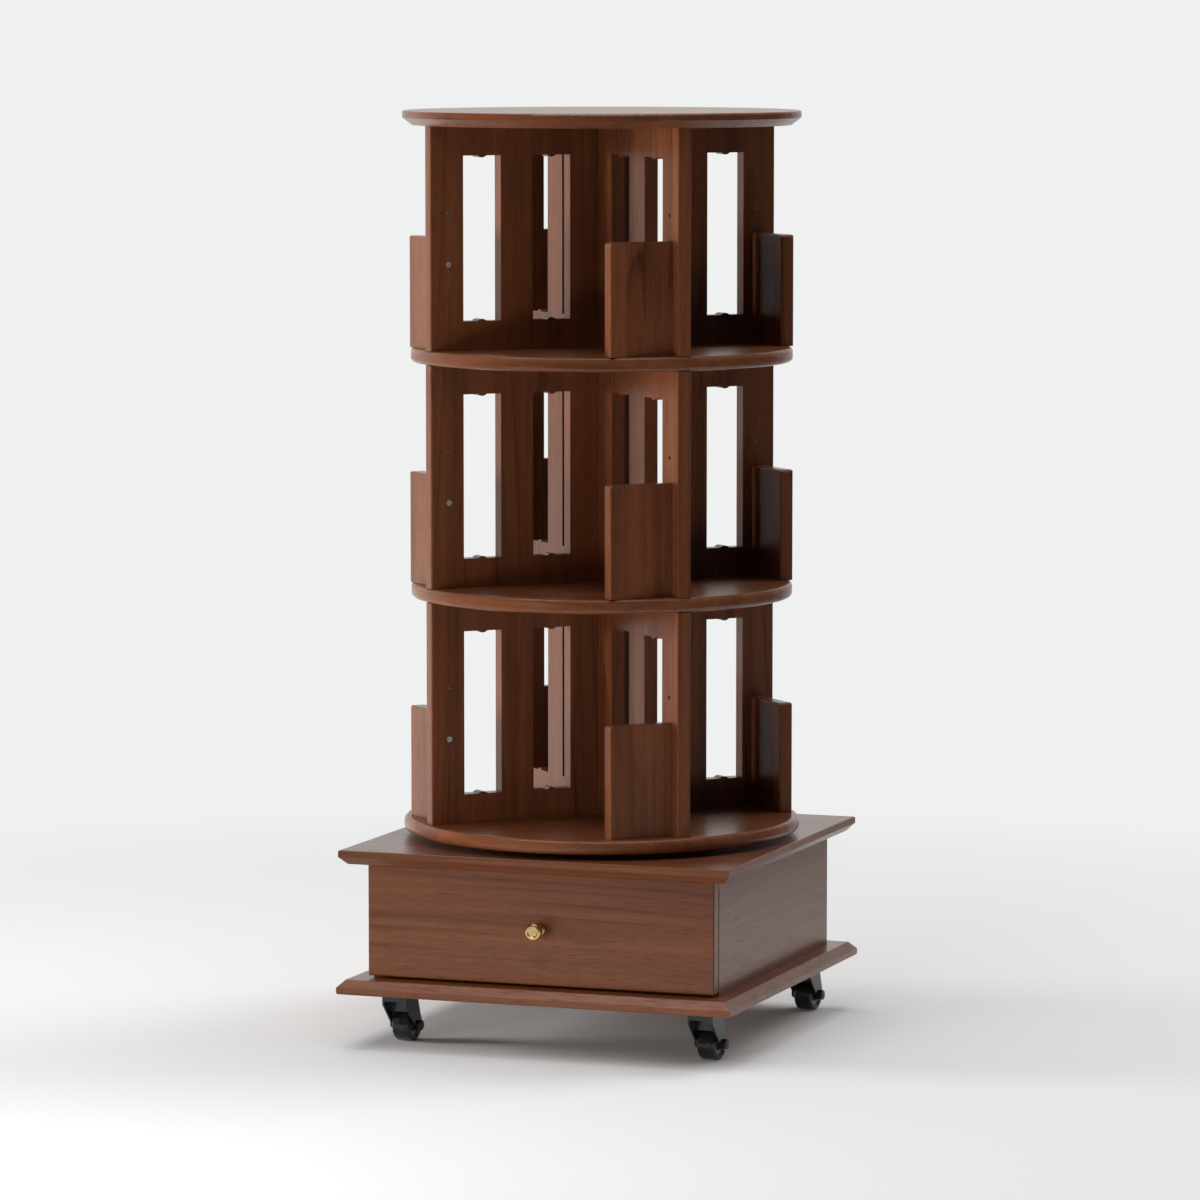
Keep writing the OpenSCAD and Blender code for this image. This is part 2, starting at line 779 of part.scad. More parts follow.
// Top plate of the fork, seen from above, with its rear corners rounded
module fork_top() {
    top_w = 2 * (leg_x + steel_t);
    corner_x = top_w / 2 - fork_corner_r;
    corner_y = fork_back - fork_corner_r;
    translate([-top_w / 2, -fork_front]) square([top_w, fork_front + corner_y]);
    translate([-corner_x, corner_y - eps]) square([2 * corner_x, fork_corner_r + eps]);
    for (x = [-1, 1]) translate([x * corner_x, corner_y]) circle(fork_corner_r);
}

// Side of one leg, seen from the right: an upright cheek that tapers to a boss round the axle
module fork_leg() {
    axle = [caster_trail, hub_z];
    back_y = fork_back - fork_corner_r;
    top_z = crown_z + steel_t / 2;
    front_low = [-fork_front, crown_z - fork_cheek];
    back_low = [back_y, crown_z - fork_cheek / 2];
    polygon([
        [-fork_front, top_z], front_low, touch(front_low, axle, boss_r, 1), axle,
        touch(back_low, axle, boss_r, -1), back_low, [back_y, top_z]
    ]);
    translate(axle) circle(boss_r);
}

// Axle bolt with its head on one leg and its nut on the other
module caster_axle(i) {
    head_t = 4;
    head_r = axle_d / 2 + 3.5;
    nut_bevel = 0.96;
    outside = leg_x + steel_t;
    color(black) at_fork(i) translate([0, caster_trail, hub_z]) rotate([0, 90, 0]) {
        cylinder(h = 2 * (outside + head_t) + 1, r = axle_d / 2, center = true);
        for (z = [-outside - head_t, outside]) translate([0, 0, z]) intersection() {
            cylinder(h = head_t, r = head_r, $fn = 6);
            cylinder(h = head_t, r = head_r * nut_bevel);
        }
    }
}

// Wheel: rounded tread, recessed sides and a hub that stands out to the fork's legs
module caster_wheel(i) {
    wheel_r = wheel_d / 2;
    tread_round = 3.5;
    recess = 2.5;
    recess_in = boss_r + 0.5;
    recess_out = wheel_r - 5.5;
    hub_gap = 0.3;
    hub_out = leg_x - hub_gap;
    color(black) at_fork(i) translate([0, caster_trail, hub_z]) rotate([0, 90, 0]) difference() {
        union() {
            rotate_extrude($fn = 120) {
                translate([0, -wheel_w / 2]) square([wheel_r - tread_round, wheel_w]);
                translate([0, tread_round - wheel_w / 2]) square([wheel_r, wheel_w - 2 * tread_round]);
                for (z = [-1, 1]) translate([wheel_r - tread_round, z * (wheel_w / 2 - tread_round)])
                    circle(tread_round);
            }
            cylinder(h = 2 * hub_out, r = axle_d / 2 + 3, center = true);
        }
        for (z = [-wheel_w / 2 - eps, wheel_w / 2 - recess]) translate([0, 0, z]) rotate_extrude()
            translate([recess_in, 0]) square([recess_out - recess_in, recess + eps]);
        cylinder(h = 4 * leg_x, r = axle_d / 2 + running_gap, center = true);
    }
}

top_disc();
shelf_disc(2);  // upper_shelf
shelf_disc(1);  // lower_shelf
bottom_disc();
for (tier = [0:2]) {
    for (way = [0, 1])
        panel(tier, way);
    for (arm = [0:3])
        book_stop(tier, arm);
}
base_top();
base_bottom();
base_side(-1);  // base_side_left
base_side(1);  // base_side_right
base_back();
drawer_front();
drawer_side(-1);  // drawer_side_left
drawer_side(1);  // drawer_side_right
drawer_back();
drawer_bottom();
knob();
knob_screw();
runner(-1);  // runner_left
runner(1);  // runner_right
turntable_lower_ring();
turntable_upper_ring();
turntable_balls();
stop_screws();
disc_screws();
base_screws();
case_dowels();
base_dowels();
for (i = [0:3]) {
    caster_plate(i);
    caster_fork(i);
    caster_axle(i);
    caster_wheel(i);
}
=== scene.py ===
"""Looks, light and camera of a round revolving bookcase on a drawer base with casters.

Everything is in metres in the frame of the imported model: +Z is up and the drawer faces -Y.
"""
import logging
import math
from dataclasses import dataclass
from enum import Enum
from typing import Any, Optional, Sequence, Union

import bmesh
import bpy
from mathutils import Matrix, Vector


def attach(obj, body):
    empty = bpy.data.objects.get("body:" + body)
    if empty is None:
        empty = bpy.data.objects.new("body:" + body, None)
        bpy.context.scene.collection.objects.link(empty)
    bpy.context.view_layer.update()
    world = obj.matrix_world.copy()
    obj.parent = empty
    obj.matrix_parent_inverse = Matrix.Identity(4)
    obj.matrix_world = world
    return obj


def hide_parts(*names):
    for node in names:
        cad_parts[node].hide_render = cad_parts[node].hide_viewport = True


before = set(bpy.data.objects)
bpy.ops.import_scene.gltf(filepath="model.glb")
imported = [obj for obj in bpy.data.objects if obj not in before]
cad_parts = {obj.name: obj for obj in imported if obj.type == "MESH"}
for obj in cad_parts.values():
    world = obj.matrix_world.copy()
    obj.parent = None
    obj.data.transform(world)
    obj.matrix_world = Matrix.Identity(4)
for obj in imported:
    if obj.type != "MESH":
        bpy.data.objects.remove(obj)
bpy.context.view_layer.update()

LOG = logging.getLogger("bookcase")
Colour = tuple[float, float, float]
Triple = tuple[float, float, float]
Value = Union["Link", float, int, Triple]
MM = 0.001
TIERS = ("lower", "middle", "upper")
SIDES = ("right", "back", "left", "front")
CORNERS = ("front_left", "front_right", "back_left", "back_right")
CASTER_X = 202 * MM
CASTER_Y = 194 * MM
ALL_ROUND = 2.0 * math.pi
SHARP = math.radians(35.0)
SIN_45 = 0.707107


@dataclass(frozen=True)
class Layer:
    """One layer of noise in a material.

    Attributes:
        waves: Waves per metre along each axis, or along, across and through the grain.
        detail: Number of finer layers in it.
        rough: How strong the finer layers are.
    """

    waves: Triple
    detail: float = 2.0
    rough: float = 0.5


# Noise of the wood
LEAN = Layer((1.3, 3.0, 3.0), 1.0)
SWAY = Layer((2.4, 9.0, 9.0), 1.0)
RIPPLE = Layer((9.0, 60.0, 60.0))
FIBRE = Layer((6.0, 420.0, 420.0), 3.0, 0.6)
UNEVEN_YEARS = Layer((0.8, 1.0, 1.0), 1.0)
DARK_YEARS = Layer((2.0, 0.9, 1.0))
FIGURED = Layer((1.6, 13.0, 13.0), 1.0)
PORES = Layer((40.0, 1200.0, 1200.0))
STREAKS = Layer((1.6, 100.0, 100.0), 4.0, 0.62)
BANDS = Layer((0.8, 22.0, 22.0))
MARKS = Layer((7.0, 70.0, 70.0))
WARMTH = Layer((1.1, 6.0, 6.0), 1.0)

# Noise of plywood, metal and treads
PLY_FIBRE = Layer((6.0, 240.0, 20.0), 3.0, 0.6)
PLY_FLAME = Layer((3.0, 22.0, 3.0))
CLOUDS = Layer((38.0, 38.0, 38.0), 3.0, 0.6)
DUST = Layer((90.0, 90.0, 90.0), 4.0, 0.6)
SCUFFS = Layer((500.0, 500.0, 500.0), 2.0, 0.6)
FINE = (420.0, 420.0, 420.0)


# Node trees written as expressions


class Link:
    """One output socket, usable in Python expressions that add Math nodes."""

    def __init__(self, graph: "Graph", socket: bpy.types.NodeSocket) -> None:
        """Keeps the socket and the graph that it belongs to."""
        self.graph = graph
        self.socket = socket

    def __add__(self, other: Value) -> "Link":
        """Returns self + other."""
        return self.graph.maths("ADD", self, other)

    def __radd__(self, other: Value) -> "Link":
        """Returns other + self."""
        return self.graph.maths("ADD", other, self)

    def __sub__(self, other: Value) -> "Link":
        """Returns self - other."""
        return self.graph.maths("SUBTRACT", self, other)

    def __rsub__(self, other: Value) -> "Link":
        """Returns other - self."""
        return self.graph.maths("SUBTRACT", other, self)

    def __mul__(self, other: Value) -> "Link":
        """Returns self * other."""
        return self.graph.maths("MULTIPLY", self, other)

    def __rmul__(self, other: Value) -> "Link":
        """Returns other * self."""
        return self.graph.maths("MULTIPLY", other, self)

    def __truediv__(self, other: Value) -> "Link":
        """Returns self / other."""
        return self.graph.maths("DIVIDE", self, other)

    def __rtruediv__(self, other: Value) -> "Link":
        """Returns other / self."""
        return self.graph.maths("DIVIDE", other, self)

    def __mod__(self, other: Value) -> "Link":
        """Returns self modulo other, never negative."""
        return self.graph.maths("FLOORED_MODULO", self, other)

    def __rmod__(self, other: Value) -> "Link":
        """Returns other modulo self, never negative."""
        return self.graph.maths("FLOORED_MODULO", other, self)

    def __pow__(self, other: Value) -> "Link":
        """Returns self to the power of other."""
        return self.graph.maths("POWER", self, other)

    def __rpow__(self, other: Value) -> "Link":
        """Returns other to the power of self."""
        return self.graph.maths("POWER", other, self)


class Graph:
    """A node tree of a material or of geometry nodes."""

    def __init__(self, tree: bpy.types.NodeTree) -> None:
        """Keeps the tree."""
        self.tree = tree

    def node(self, kind: str, settings: Optional[dict[str, Any]] = None,
             inputs: Optional[dict[Union[int, str], Any]] = None, out: Union[int, str] = 0) -> Link:
        """Adds one node.

        Args:
            kind: The node's type.
            settings: Its properties, set first.
            inputs: Values or links of its sockets, by index or name.
            out: Index or name of the output that is returned.

        Returns:
            The chosen output.
        """
        made = self.tree.nodes.new(kind)
        for name, value in (settings or {}).items():
            setattr(made, name, value)
        for key, value in (inputs or {}).items():
            self.feed(made.inputs[key], value)
        return Link(self, made.outputs[out] if made.outputs else made.inputs[0])

    def feed(self, socket: bpy.types.NodeSocket, value: Any) -> None:
        """Links a socket, or sets its own value.

        Args:
            socket: The input socket.
            value: A Link, a number, a colour or a vector.
        """
        if isinstance(value, Link):
            self.tree.links.new(value.socket, socket)
        elif socket.type == "RGBA" and len(value) == 3:
            socket.default_value = (*value, 1.0)
        else:
            socket.default_value = value

    def maths(self, operation: str, *values: Value) -> Link:
        """Returns one Math node's result for the given values."""
        return self.node("ShaderNodeMath", {"operation": operation}, dict(enumerate(values)))

    def smooth(self, value: Link, low: float, high: float) -> Link:
        """Returns 0 below low, 1 above high and a smooth step between."""
        return self.node("ShaderNodeMapRange", {"interpolation_type": "SMOOTHSTEP"},
                         {"Value": value, "From Min": low, "From Max": high})

    def split(self, vector: Link) -> tuple[Link, Link, Link]:
        """Returns a vector's three parts."""
        parts = self.node("ShaderNodeSeparateXYZ", None, {0: vector}).socket.node
        return Link(self, parts.outputs[0]), Link(self, parts.outputs[1]), Link(self, parts.outputs[2])

    def join(self, x: Value, y: Value, z: Value) -> Link:
        """Returns a vector made of three values."""
        return self.node("ShaderNodeCombineXYZ", None, {0: x, 1: y, 2: z})

    def noise(self, at: Link, layer: Layer) -> Link:
        """Returns a layer's noise at a place, from 0 to 1."""
        scaled = self.node("ShaderNodeVectorMath", {"operation": "MULTIPLY"}, {0: at, 1: layer.waves})
        return self.node("ShaderNodeTexNoise", None,
                         {"Vector": scaled, "Scale": 1.0, "Detail": layer.detail, "Roughness": layer.rough})

    def tint(self, first: Any, second: Any, factor: Value, way: str = "MIX") -> Link:
        """Returns two colours mixed by a factor."""
        return self.node("ShaderNodeMix", {"data_type": "RGBA", "blend_type": way, "clamp_factor": True},
                         {0: factor, 6: first, 7: second}, 2)


class Paint(Graph):
    """The node tree of one material, read from object coordinates."""

    def __init__(self, name: str) -> None:
        """Starts an empty material.

        Args:
            name: The material's name.
        """
        self.material = bpy.data.materials.new(name)
        self.material.use_nodes = True
        super().__init__(self.material.node_tree)
        self.tree.nodes.clear()
        self.place = self.node("ShaderNodeTexCoord", out="Object")

    def placed(self, turn: Triple, shift: Triple) -> Link:
        """Returns the object's coordinates after a turn and then a shift."""
        return self.node("ShaderNodeMapping", None,
                         {"Vector": self.place, "Rotation": turn, "Location": shift})

    def rounded(self, radius: float) -> Link:
        """Returns the normal, turned as if sharp edges were rounded by a radius."""
        return self.node("ShaderNodeBevel", {"samples": 4}, {"Radius": radius})

    def surface(self, colour: Link, rough: Link, height: Link, height_m: float, soft_m: float,
                rest: dict[str, float]) -> bpy.types.Material:
        """Ends the tree in one surface shader.

        Args:
            colour: Its colour.
            rough: Its roughness.
            height: Relief from 0 to 1.
            height_m: Depth of that relief in metres.
            soft_m: Radius of the rounding that is shaded onto sharp edges.
            rest: Values of other sockets, the same all over.

        Returns:
            The material.
        """
        bumped = self.node("ShaderNodeBump", None, {
            "Height": height, "Distance": height_m, "Strength": 1.0, "Normal": self.rounded(soft_m)})
        shader = self.node("ShaderNodeBsdfPrincipled", None,
                           {**rest, "Base Color": colour, "Roughness": rough, "Normal": bumped})
        self.node("ShaderNodeOutputMaterial", None, {"Surface": shader})
        return self.material

    def edge_highlight_and_wear(self, radius: float, low: float, high: float) -> Link:
        """Returns a mask of the convex and concave edges, used for painted edge highlights and for edge
        wear.

        Args:
            radius: How far from an edge the mask reaches.
            low: Turn of the normal at which the mask starts.
            high: Turn of the normal at which it is full.

        Returns:
            The mask, 0 on flat faces.
        """
        flat = self.node("ShaderNodeNewGeometry", out="Normal")
        same = self.node("ShaderNodeVectorMath", {"operation": "DOT_PRODUCT"},
                         {0: self.rounded(radius), 1: flat}, "Value")
        return self.smooth(1.0 - same, low, high)


# Finishes


class Grain(Enum):
    """Direction of a board's grain, and the direction across its width."""

    ALONG_X = ((1.0, 0.0, 0.0), (0.0, 1.0, 0.0))
    ALONG_X_UPRIGHT = ((1.0, 0.0, 0.0), (0.0, 0.0, 1.0))
    ALONG_Y_UPRIGHT = ((0.0, 1.0, 0.0), (0.0, 0.0, 1.0))
    UP_FIRST_ARM = ((0.0, 0.0, 1.0), (SIN_45, SIN_45, 0.0))
    UP_SECOND_ARM = ((0.0, 0.0, 1.0), (-SIN_45, SIN_45, 0.0))
    UP_X = ((0.0, 0.0, 1.0), (1.0, 0.0, 0.0))

    def turn(self) -> Triple:
        """Returns the turn that lays the grain along X and the width along Y."""
        grain, across = Vector(self.value[0]), Vector(self.value[1])
        return tuple(Matrix((grain, across, grain.cross(across))).to_euler("XYZ"))


@dataclass(frozen=True)
class Board:
    """One board of the case.

    Attributes:
        node: Name of its node.
        grain: Direction of its grain.
        seed: Picks its place in the tree.
        strip: Width of the strips that it is glued up from, or 0.
        figure: How lively its rings are, 0 to 1.
    """

    node: str
    grain: Grain
    seed: int
    strip: float = 0.0
    figure: float = 0.3


@dataclass(frozen=True)
class WoodFinish:
    """Sawn wood: rings, streaks, pores and a varnish.

    Attributes:
        slot: Material slot in the record.
        light: Colour of the early wood.
        dark: Colour of the late wood.
        pore: Colour of the pores.
        ring_depth: How much darker the late wood is, 0 to 1.
        roughness: Roughness of the varnish.
        coat: Weight of the clear coat.
        ring: Width of a growth ring.
        pith: Distance of the tree's middle from the board.
        wander: How far the rings wander.
        pore_depth: Depth of the pores.
        soft: Radius of the softened edges.
        base: Share of the dark colour all over.
        streak: How strongly the fine streaks darken the wood.
        fibre: How strongly the fibres do.
        mark: How strongly the short dark marks do.
        index: Refractive index of the varnish.
    """

    slot: str
    light: Colour
    dark: Colour
    pore: Colour
    ring_depth: float
    roughness: float
    coat: float
    ring: float = 0.0075
    pith: float = 0.045
    wander: float = 0.030
    pore_depth: float = 0.00012
    soft: float = 0.0010
    base: float = 0.27
    streak: float = 0.9
    fibre: float = 0.4
    mark: float = 0.3
    index: float = 1.43

    def lay(self, g: Paint, board: Board) -> tuple[Link, Link, Link, Optional[Link]]:
        """Lays a board at its own place in the tree, strip by strip where it is glued up.

        Args:
            g: The material's tree.
            board: The board.

        Returns:
            The place along, across and through the grain, and a number from 0 to 1 for each strip.
        """
        shift = (board.seed * 0.731 % 5.0, board.seed * 0.0137 % 0.05 - 0.025, 0.0)
        along, across, through = g.split(g.placed(board.grain.turn(), shift))
        if not board.strip:
            return along, across, through, None
        number = g.maths("FLOOR", across / board.strip)
        odd = g.node("ShaderNodeTexWhiteNoise", {"noise_dimensions": "1D"},
                     {"W": number + float(board.seed)})
        across = across - (number + 0.5) * board.strip + (odd - 0.5) * 0.06
        return along + odd * 3.0, across, through, odd

    def grow(self, g: Paint, board: Board, at: tuple[Link, Link, Link], fibre: Link) -> tuple[Link, Link]:
        """Grows the rings round the tree's middle.

        Args:
            g: The material's tree.
            board: The board.
            at: Place along, across and through the grain.
            fibre: The fibres' noise.

        Returns:
            How far a point is into its ring's late wood, and how dark that ring is, both 0 to 1.
        """
        along, across, through = at
        spot = g.join(along, across, through)
        lean = g.noise(spot, LEAN) - 0.5
        sway = g.noise(g.join(along + 7.3, across, through), SWAY) - 0.5
        ripple = g.noise(spot, RIPPLE) - 0.5
        off_axis = across + lean * (self.wander * (0.1 + 2.0 * board.figure)) + ripple * 0.002
        depth = through + self.pith + sway * (self.wander * (0.1 + 3.5 * board.figure))
        taper = along * (0.004 + 0.09 * board.figure)
        years = (g.maths("SQRT", off_axis * off_axis + depth * depth) + taper) / self.ring
        uneven = g.noise(g.join(years, 0.0, 0.0), UNEVEN_YEARS) * 1.6
        ring = (years + uneven + (fibre - 0.5) * 0.30) % 1.0
        late = (ring ** 2.5) * (1.0 - g.smooth(ring, 0.86, 1.0))
        dark = g.smooth(g.noise(g.join(along * 0.6, years, 4.0), DARK_YEARS), 0.35, 0.75)
        return late, dark * g.smooth(g.noise(spot, FIGURED), 0.38, 0.62)

    def dress(self, board: Board) -> bpy.types.Material:
        """Makes the material of one board.

        Args:
            board: The board.

        Returns:
            Its material.
        """
        g = Paint(f"{self.slot}_{board.node}")
        along, across, through, odd = self.lay(g, board)
        spot = g.join(along, across, through)
        fibre = g.noise(spot, FIBRE)
        late, dark = self.grow(g, board, (along, across, through), fibre)
        pores = g.smooth(g.noise(spot, PORES), 0.56, 0.70) * (1.0 - late * 0.7)
        streaks = g.noise(spot, STREAKS) - 0.5
        bands = g.noise(g.join(along + 3.1, across, through), BANDS) - 0.5
        marks = g.smooth(g.noise(g.join(along, across, through + 2.0), MARKS), 0.66, 0.78)
        shade = late * (dark * 1.4 + 0.1) * self.ring_depth + streaks * self.streak + bands
        shade = shade + (fibre - 0.5) * self.fibre + marks * self.mark + self.base
        colour = g.tint(self.light, self.dark, shade)
        colour = g.tint(colour, self.pore, pores * 0.5)
        warm = g.noise(spot, WARMTH) - 0.5
        cast = g.tint((1.07, 0.96, 0.88), (0.94, 1.05, 1.10), warm * 1.2 + bands * 1.2 + 0.5)
        colour = g.tint(colour, cast, 1.0, "MULTIPLY")
        tone = warm * 0.30 + 1.0
        if odd is not None:
            tone = tone + (odd - 0.5) * 0.10
        # Painted edge highlight: the colour is lighter along sharp convex and concave edges, which also
        # stands for rubbed wear.
        tone = tone + g.edge_highlight_and_wear(0.0012, 0.05, 0.4) * 0.10
        colour = g.tint(colour, g.join(tone, tone, tone), 1.0, "MULTIPLY")
        rough = (fibre - 0.5) * 0.10 + pores * 0.12 + self.roughness + warm * 0.06
        height = 1.0 - pores * 0.8 - late * 0.15 + (fibre - 0.5) * 0.25
        return g.surface(colour, rough, height, self.pore_depth, self.soft,
                         {"Coat Weight": self.coat, "Coat Roughness": 0.16, "IOR": self.index})


@dataclass(frozen=True)
class PlyFinish:
    """Plywood: a plain face and striped edges.

    Attributes:
        slot: Material slot in the record.
        face: Colour of the face.
        glue: Colour of the dark plies at the edge.
        ply: Thickness of one ply.
        relief: Depth of its fibres.
        soft: Radius of the softened edges.
    """

    slot: str
    face: Colour
    glue: Colour
    ply: float
    relief: float = 0.00006
    soft: float = 0.0004

    def dress(self, name: str) -> bpy.types.Material:
        """Makes the material of a level sheet.

        Args:
            name: Name of the sheet.

        Returns:
            Its material.
        """
        g = Paint(f"{self.slot}_{name}")
        height = g.split(g.place)[2]
        fibre = g.noise(g.place, PLY_FIBRE)
        flame = g.noise(g.place, PLY_FLAME)
        level = g.maths("ABSOLUTE", g.split(g.node("ShaderNodeNewGeometry", out="Normal"))[2])
        plies = g.smooth((height / (2.0 * self.ply)) % 1.0, 0.45, 0.55) * (1.0 - g.smooth(level, 0.4, 0.6))
        shade = (fibre - 0.5) * 0.6 + (flame - 0.5) * 0.5 + plies * 0.7 + 0.15
        colour = g.tint(self.face, self.glue, shade)
        rough = 0.55 + (fibre - 0.5) * 0.15
        return g.surface(colour, rough, fibre, self.relief, self.soft, {"IOR": 1.5})


@dataclass(frozen=True)
class MetalFinish:
    """Bare, plated or enamelled metal with fine marks.

    Attributes:
        slot: Material slot in the record.
        colour: Main colour.
        other: Colour of its stains and marks.
        metallic: 1 for bare metal, 0 for enamel.
        roughness: Mean roughness.
        brushed: Direction in which it is brushed, or None for a cast or sprayed skin.
        mark: How strongly the marks show.
        coat: Weight of a clear coat.
        relief: Depth of its fine marks.
        soft: Radius of the softened edges.
    """

    slot: str
    colour: Colour
    other: Colour
    metallic: float
    roughness: float
    brushed: Optional[Triple] = None
    mark: float = 0.4
    coat: float = 0.0
    relief: float = 0.00002
    soft: float = 0.0004

    def dress(self, name: str) -> bpy.types.Material:
        """Makes the material of one piece.

        Args:
            name: Name of the piece.

        Returns:
            Its material.
        """
        g = Paint(f"{self.slot}_{name}")
        scratches = g.noise(g.place, Layer(self.brushed or FINE, 2.0, 0.6))
        clouds = g.noise(g.place, CLOUDS)
        wear = g.edge_highlight_and_wear(0.0008, 0.04, 0.35)
        shade = g.smooth(clouds, 0.45, 0.75) * self.mark + (scratches - 0.5) * 0.3 + wear * 0.35
        colour = g.tint(self.colour, self.other, shade)
        rough = self.roughness + (scratches - 0.5) * 0.22 + g.smooth(clouds, 0.4, 0.8) * 0.12
        return g.surface(colour, rough, scratches, self.relief, self.soft,
                         {"Metallic": self.metallic, "Coat Weight": self.coat, "Coat Roughness": 0.1})


@dataclass(frozen=True)
class WheelFinish:
    """Caster wheel: black tread, grey ring on its side and a dark hub.

    Attributes:
        slot: Material slot in the record.
        tread: Colour of the tread.
        ring: Colour of the ring on the side.
        hub: Colour of the hub.
        ring_in: Inner radius of the grey ring.
        ring_out: Outer radius of the grey ring.
        blend: Width over which two of its colours meet.
        dusty: Colour of the dust on the tread.
        relief: Depth of its scuffs.
        soft: Radius of the softened edges.
    """

    slot: str
    tread: Colour
    ring: Colour
    hub: Colour
    ring_in: float
    ring_out: float
    blend: float = 0.3 * MM
    dusty: Colour = (0.12, 0.115, 0.11)
    relief: float = 0.00003
    soft: float = 0.0004

    def dress(self, name: str, middle: Triple, turn: float) -> bpy.types.Material:
        """Makes the material of one wheel.

        Args:
            name: Name of the wheel.
            middle: The wheel's middle.
            turn: Angle of its axle from X, about Z.

        Returns:
            Its material.
        """
        g = Paint(f"{self.slot}_{name}")
        spun = Matrix.Rotation(-turn, 3, "Z")
        shift = spun @ -Vector(middle)
        parts = g.split(g.placed((0.0, 0.0, -turn), tuple(shift)))
        radius = g.maths("SQRT", parts[1] * parts[1] + parts[2] * parts[2])
        dust = g.noise(g.place, DUST)
        scuff = g.noise(g.place, SCUFFS)
        past_hub = g.smooth(radius, self.ring_in, self.ring_in + self.blend)
        on_tread = g.smooth(radius, self.ring_out, self.ring_out + self.blend)
        colour = g.tint(self.hub, self.ring, past_hub * (1.0 - on_tread))
        colour = g.tint(colour, self.tread, on_tread)
        grey = g.smooth(dust, 0.55, 0.85) * on_tread
        colour = g.tint(colour, self.dusty, grey * 0.35)
        rough = 0.24 + grey * 0.35 + (scuff - 0.5) * 0.16
        return g.surface(colour, rough, scuff, self.relief, self.soft,
                         {"Coat Weight": 0.2, "Coat Roughness": 0.12})


WALNUT = WoodFinish(
    "walnut_wood", light=(0.190, 0.0615, 0.0245), dark=(0.058, 0.0155, 0.0055), pore=(0.030, 0.009, 0.004),
    ring_depth=0.60, roughness=0.29, coat=0.08)
BEECH = WoodFinish(
    "beech_wood", light=(0.60, 0.39, 0.21), dark=(0.44, 0.26, 0.13), pore=(0.30, 0.17, 0.08), ring=0.004,
    ring_depth=0.35, wander=0.010, roughness=0.5, coat=0.0, pore_depth=0.00003, soft=0.0008)
DOWEL = WoodFinish(
    "dowel_wood", light=(0.66, 0.46, 0.27), dark=(0.50, 0.32, 0.17), pore=(0.35, 0.22, 0.12), ring=0.002,
    ring_depth=0.3, wander=0.004, roughness=0.6, coat=0.0, pore_depth=0.00003, soft=0.0003)
PLYWOOD = PlyFinish("plywood", face=(0.62, 0.43, 0.25), glue=(0.34, 0.20, 0.10), ply=0.0012)
BRASS = MetalFinish("brass_knob", colour=(0.86, 0.62, 0.28), other=(0.62, 0.40, 0.14), metallic=1.0,
                    roughness=0.30, brushed=(300.0, 40.0, 300.0), mark=0.3)
ZINC = MetalFinish("zinc_screw", colour=(0.60, 0.61, 0.62), other=(0.38, 0.39, 0.41), metallic=0.6,
                   roughness=0.36)
PLATED = MetalFinish("turntable_steel", colour=(0.60, 0.61, 0.62), other=(0.40, 0.40, 0.41), metallic=1.0,
                     roughness=0.38)
BALL = MetalFinish("ball_steel", colour=(0.74, 0.75, 0.76), other=(0.55, 0.55, 0.56), metallic=1.0,
                   roughness=0.12, mark=0.15)
ENAMEL = MetalFinish("caster_metal", colour=(0.008, 0.008, 0.009), other=(0.022, 0.022, 0.023), metallic=0.0,
                     roughness=0.20, mark=0.25, coat=0.15)
BOLT = MetalFinish("caster_bolt", colour=(0.03, 0.03, 0.034), other=(0.12, 0.12, 0.125), metallic=0.6,
                   roughness=0.30, mark=0.3)
WHEEL = WheelFinish("caster_wheel", tread=(0.008, 0.008, 0.009), ring=(0.10, 0.10, 0.103),
                    hub=(0.02, 0.02, 0.022), ring_in=8.3 * MM, ring_out=15.2 * MM)


# Helpers for meshes


def add_object(name: str, mesh: bpy.types.Mesh) -> bpy.types.Object:
    """Links a mesh to the scene as an object at the origin.

    Args:
        name: The object's name.
        mesh: Its mesh.

    Returns:
        The object.
    """
    made = bpy.data.objects.new(name, mesh)
    bpy.context.scene.collection.objects.link(made)
    return made


def from_bmesh(name: str, work: bmesh.types.BMesh) -> bpy.types.Object:
    """Turns a bmesh into an object with merged points and outward faces.

    Args:
        name: The object's name.
        work: The bmesh, which is freed.

    Returns:
        The object.
    """
    bmesh.ops.remove_doubles(work, verts=work.verts, dist=1e-6)
    bmesh.ops.recalc_face_normals(work, faces=work.faces)
    for face in work.faces:
        face.smooth = True
    for edge in work.edges:
        if len(edge.link_faces) == 2 and edge.calc_face_angle() > SHARP:
            edge.smooth = False
    mesh = bpy.data.meshes.new(name)
    work.to_mesh(mesh)
    work.free()
    return add_object(name, mesh)


def dress_node(node: str, material: bpy.types.Material) -> None:
    """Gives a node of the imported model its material.

    Args:
        node: The node's name.
        material: The material.
    """
    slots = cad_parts[node].material_slots
    for slot in slots:
        slot.material = material
    if not slots:
        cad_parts[node].data.materials.append(material)
    LOG.info("node %s: %s", node, material.name)


def dress_piece(piece: bpy.types.Object, material: bpy.types.Material, body: str, slot: str,
                *nodes: str) -> None:
    """Dresses a finished piece and lets it stand for nodes of the model.

    Args:
        piece: The piece.
        material: Its material.
        body: The body that it rides on.
        slot: Not used.
        nodes: Nodes that it stands for.
    """
    piece.data.materials.clear()
    piece.data.materials.append(material)
    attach(piece, body)
    if nodes:
        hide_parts(*nodes)
    LOG.info("piece %s on %s: %d faces", piece.name, body, len(piece.data.polygons))


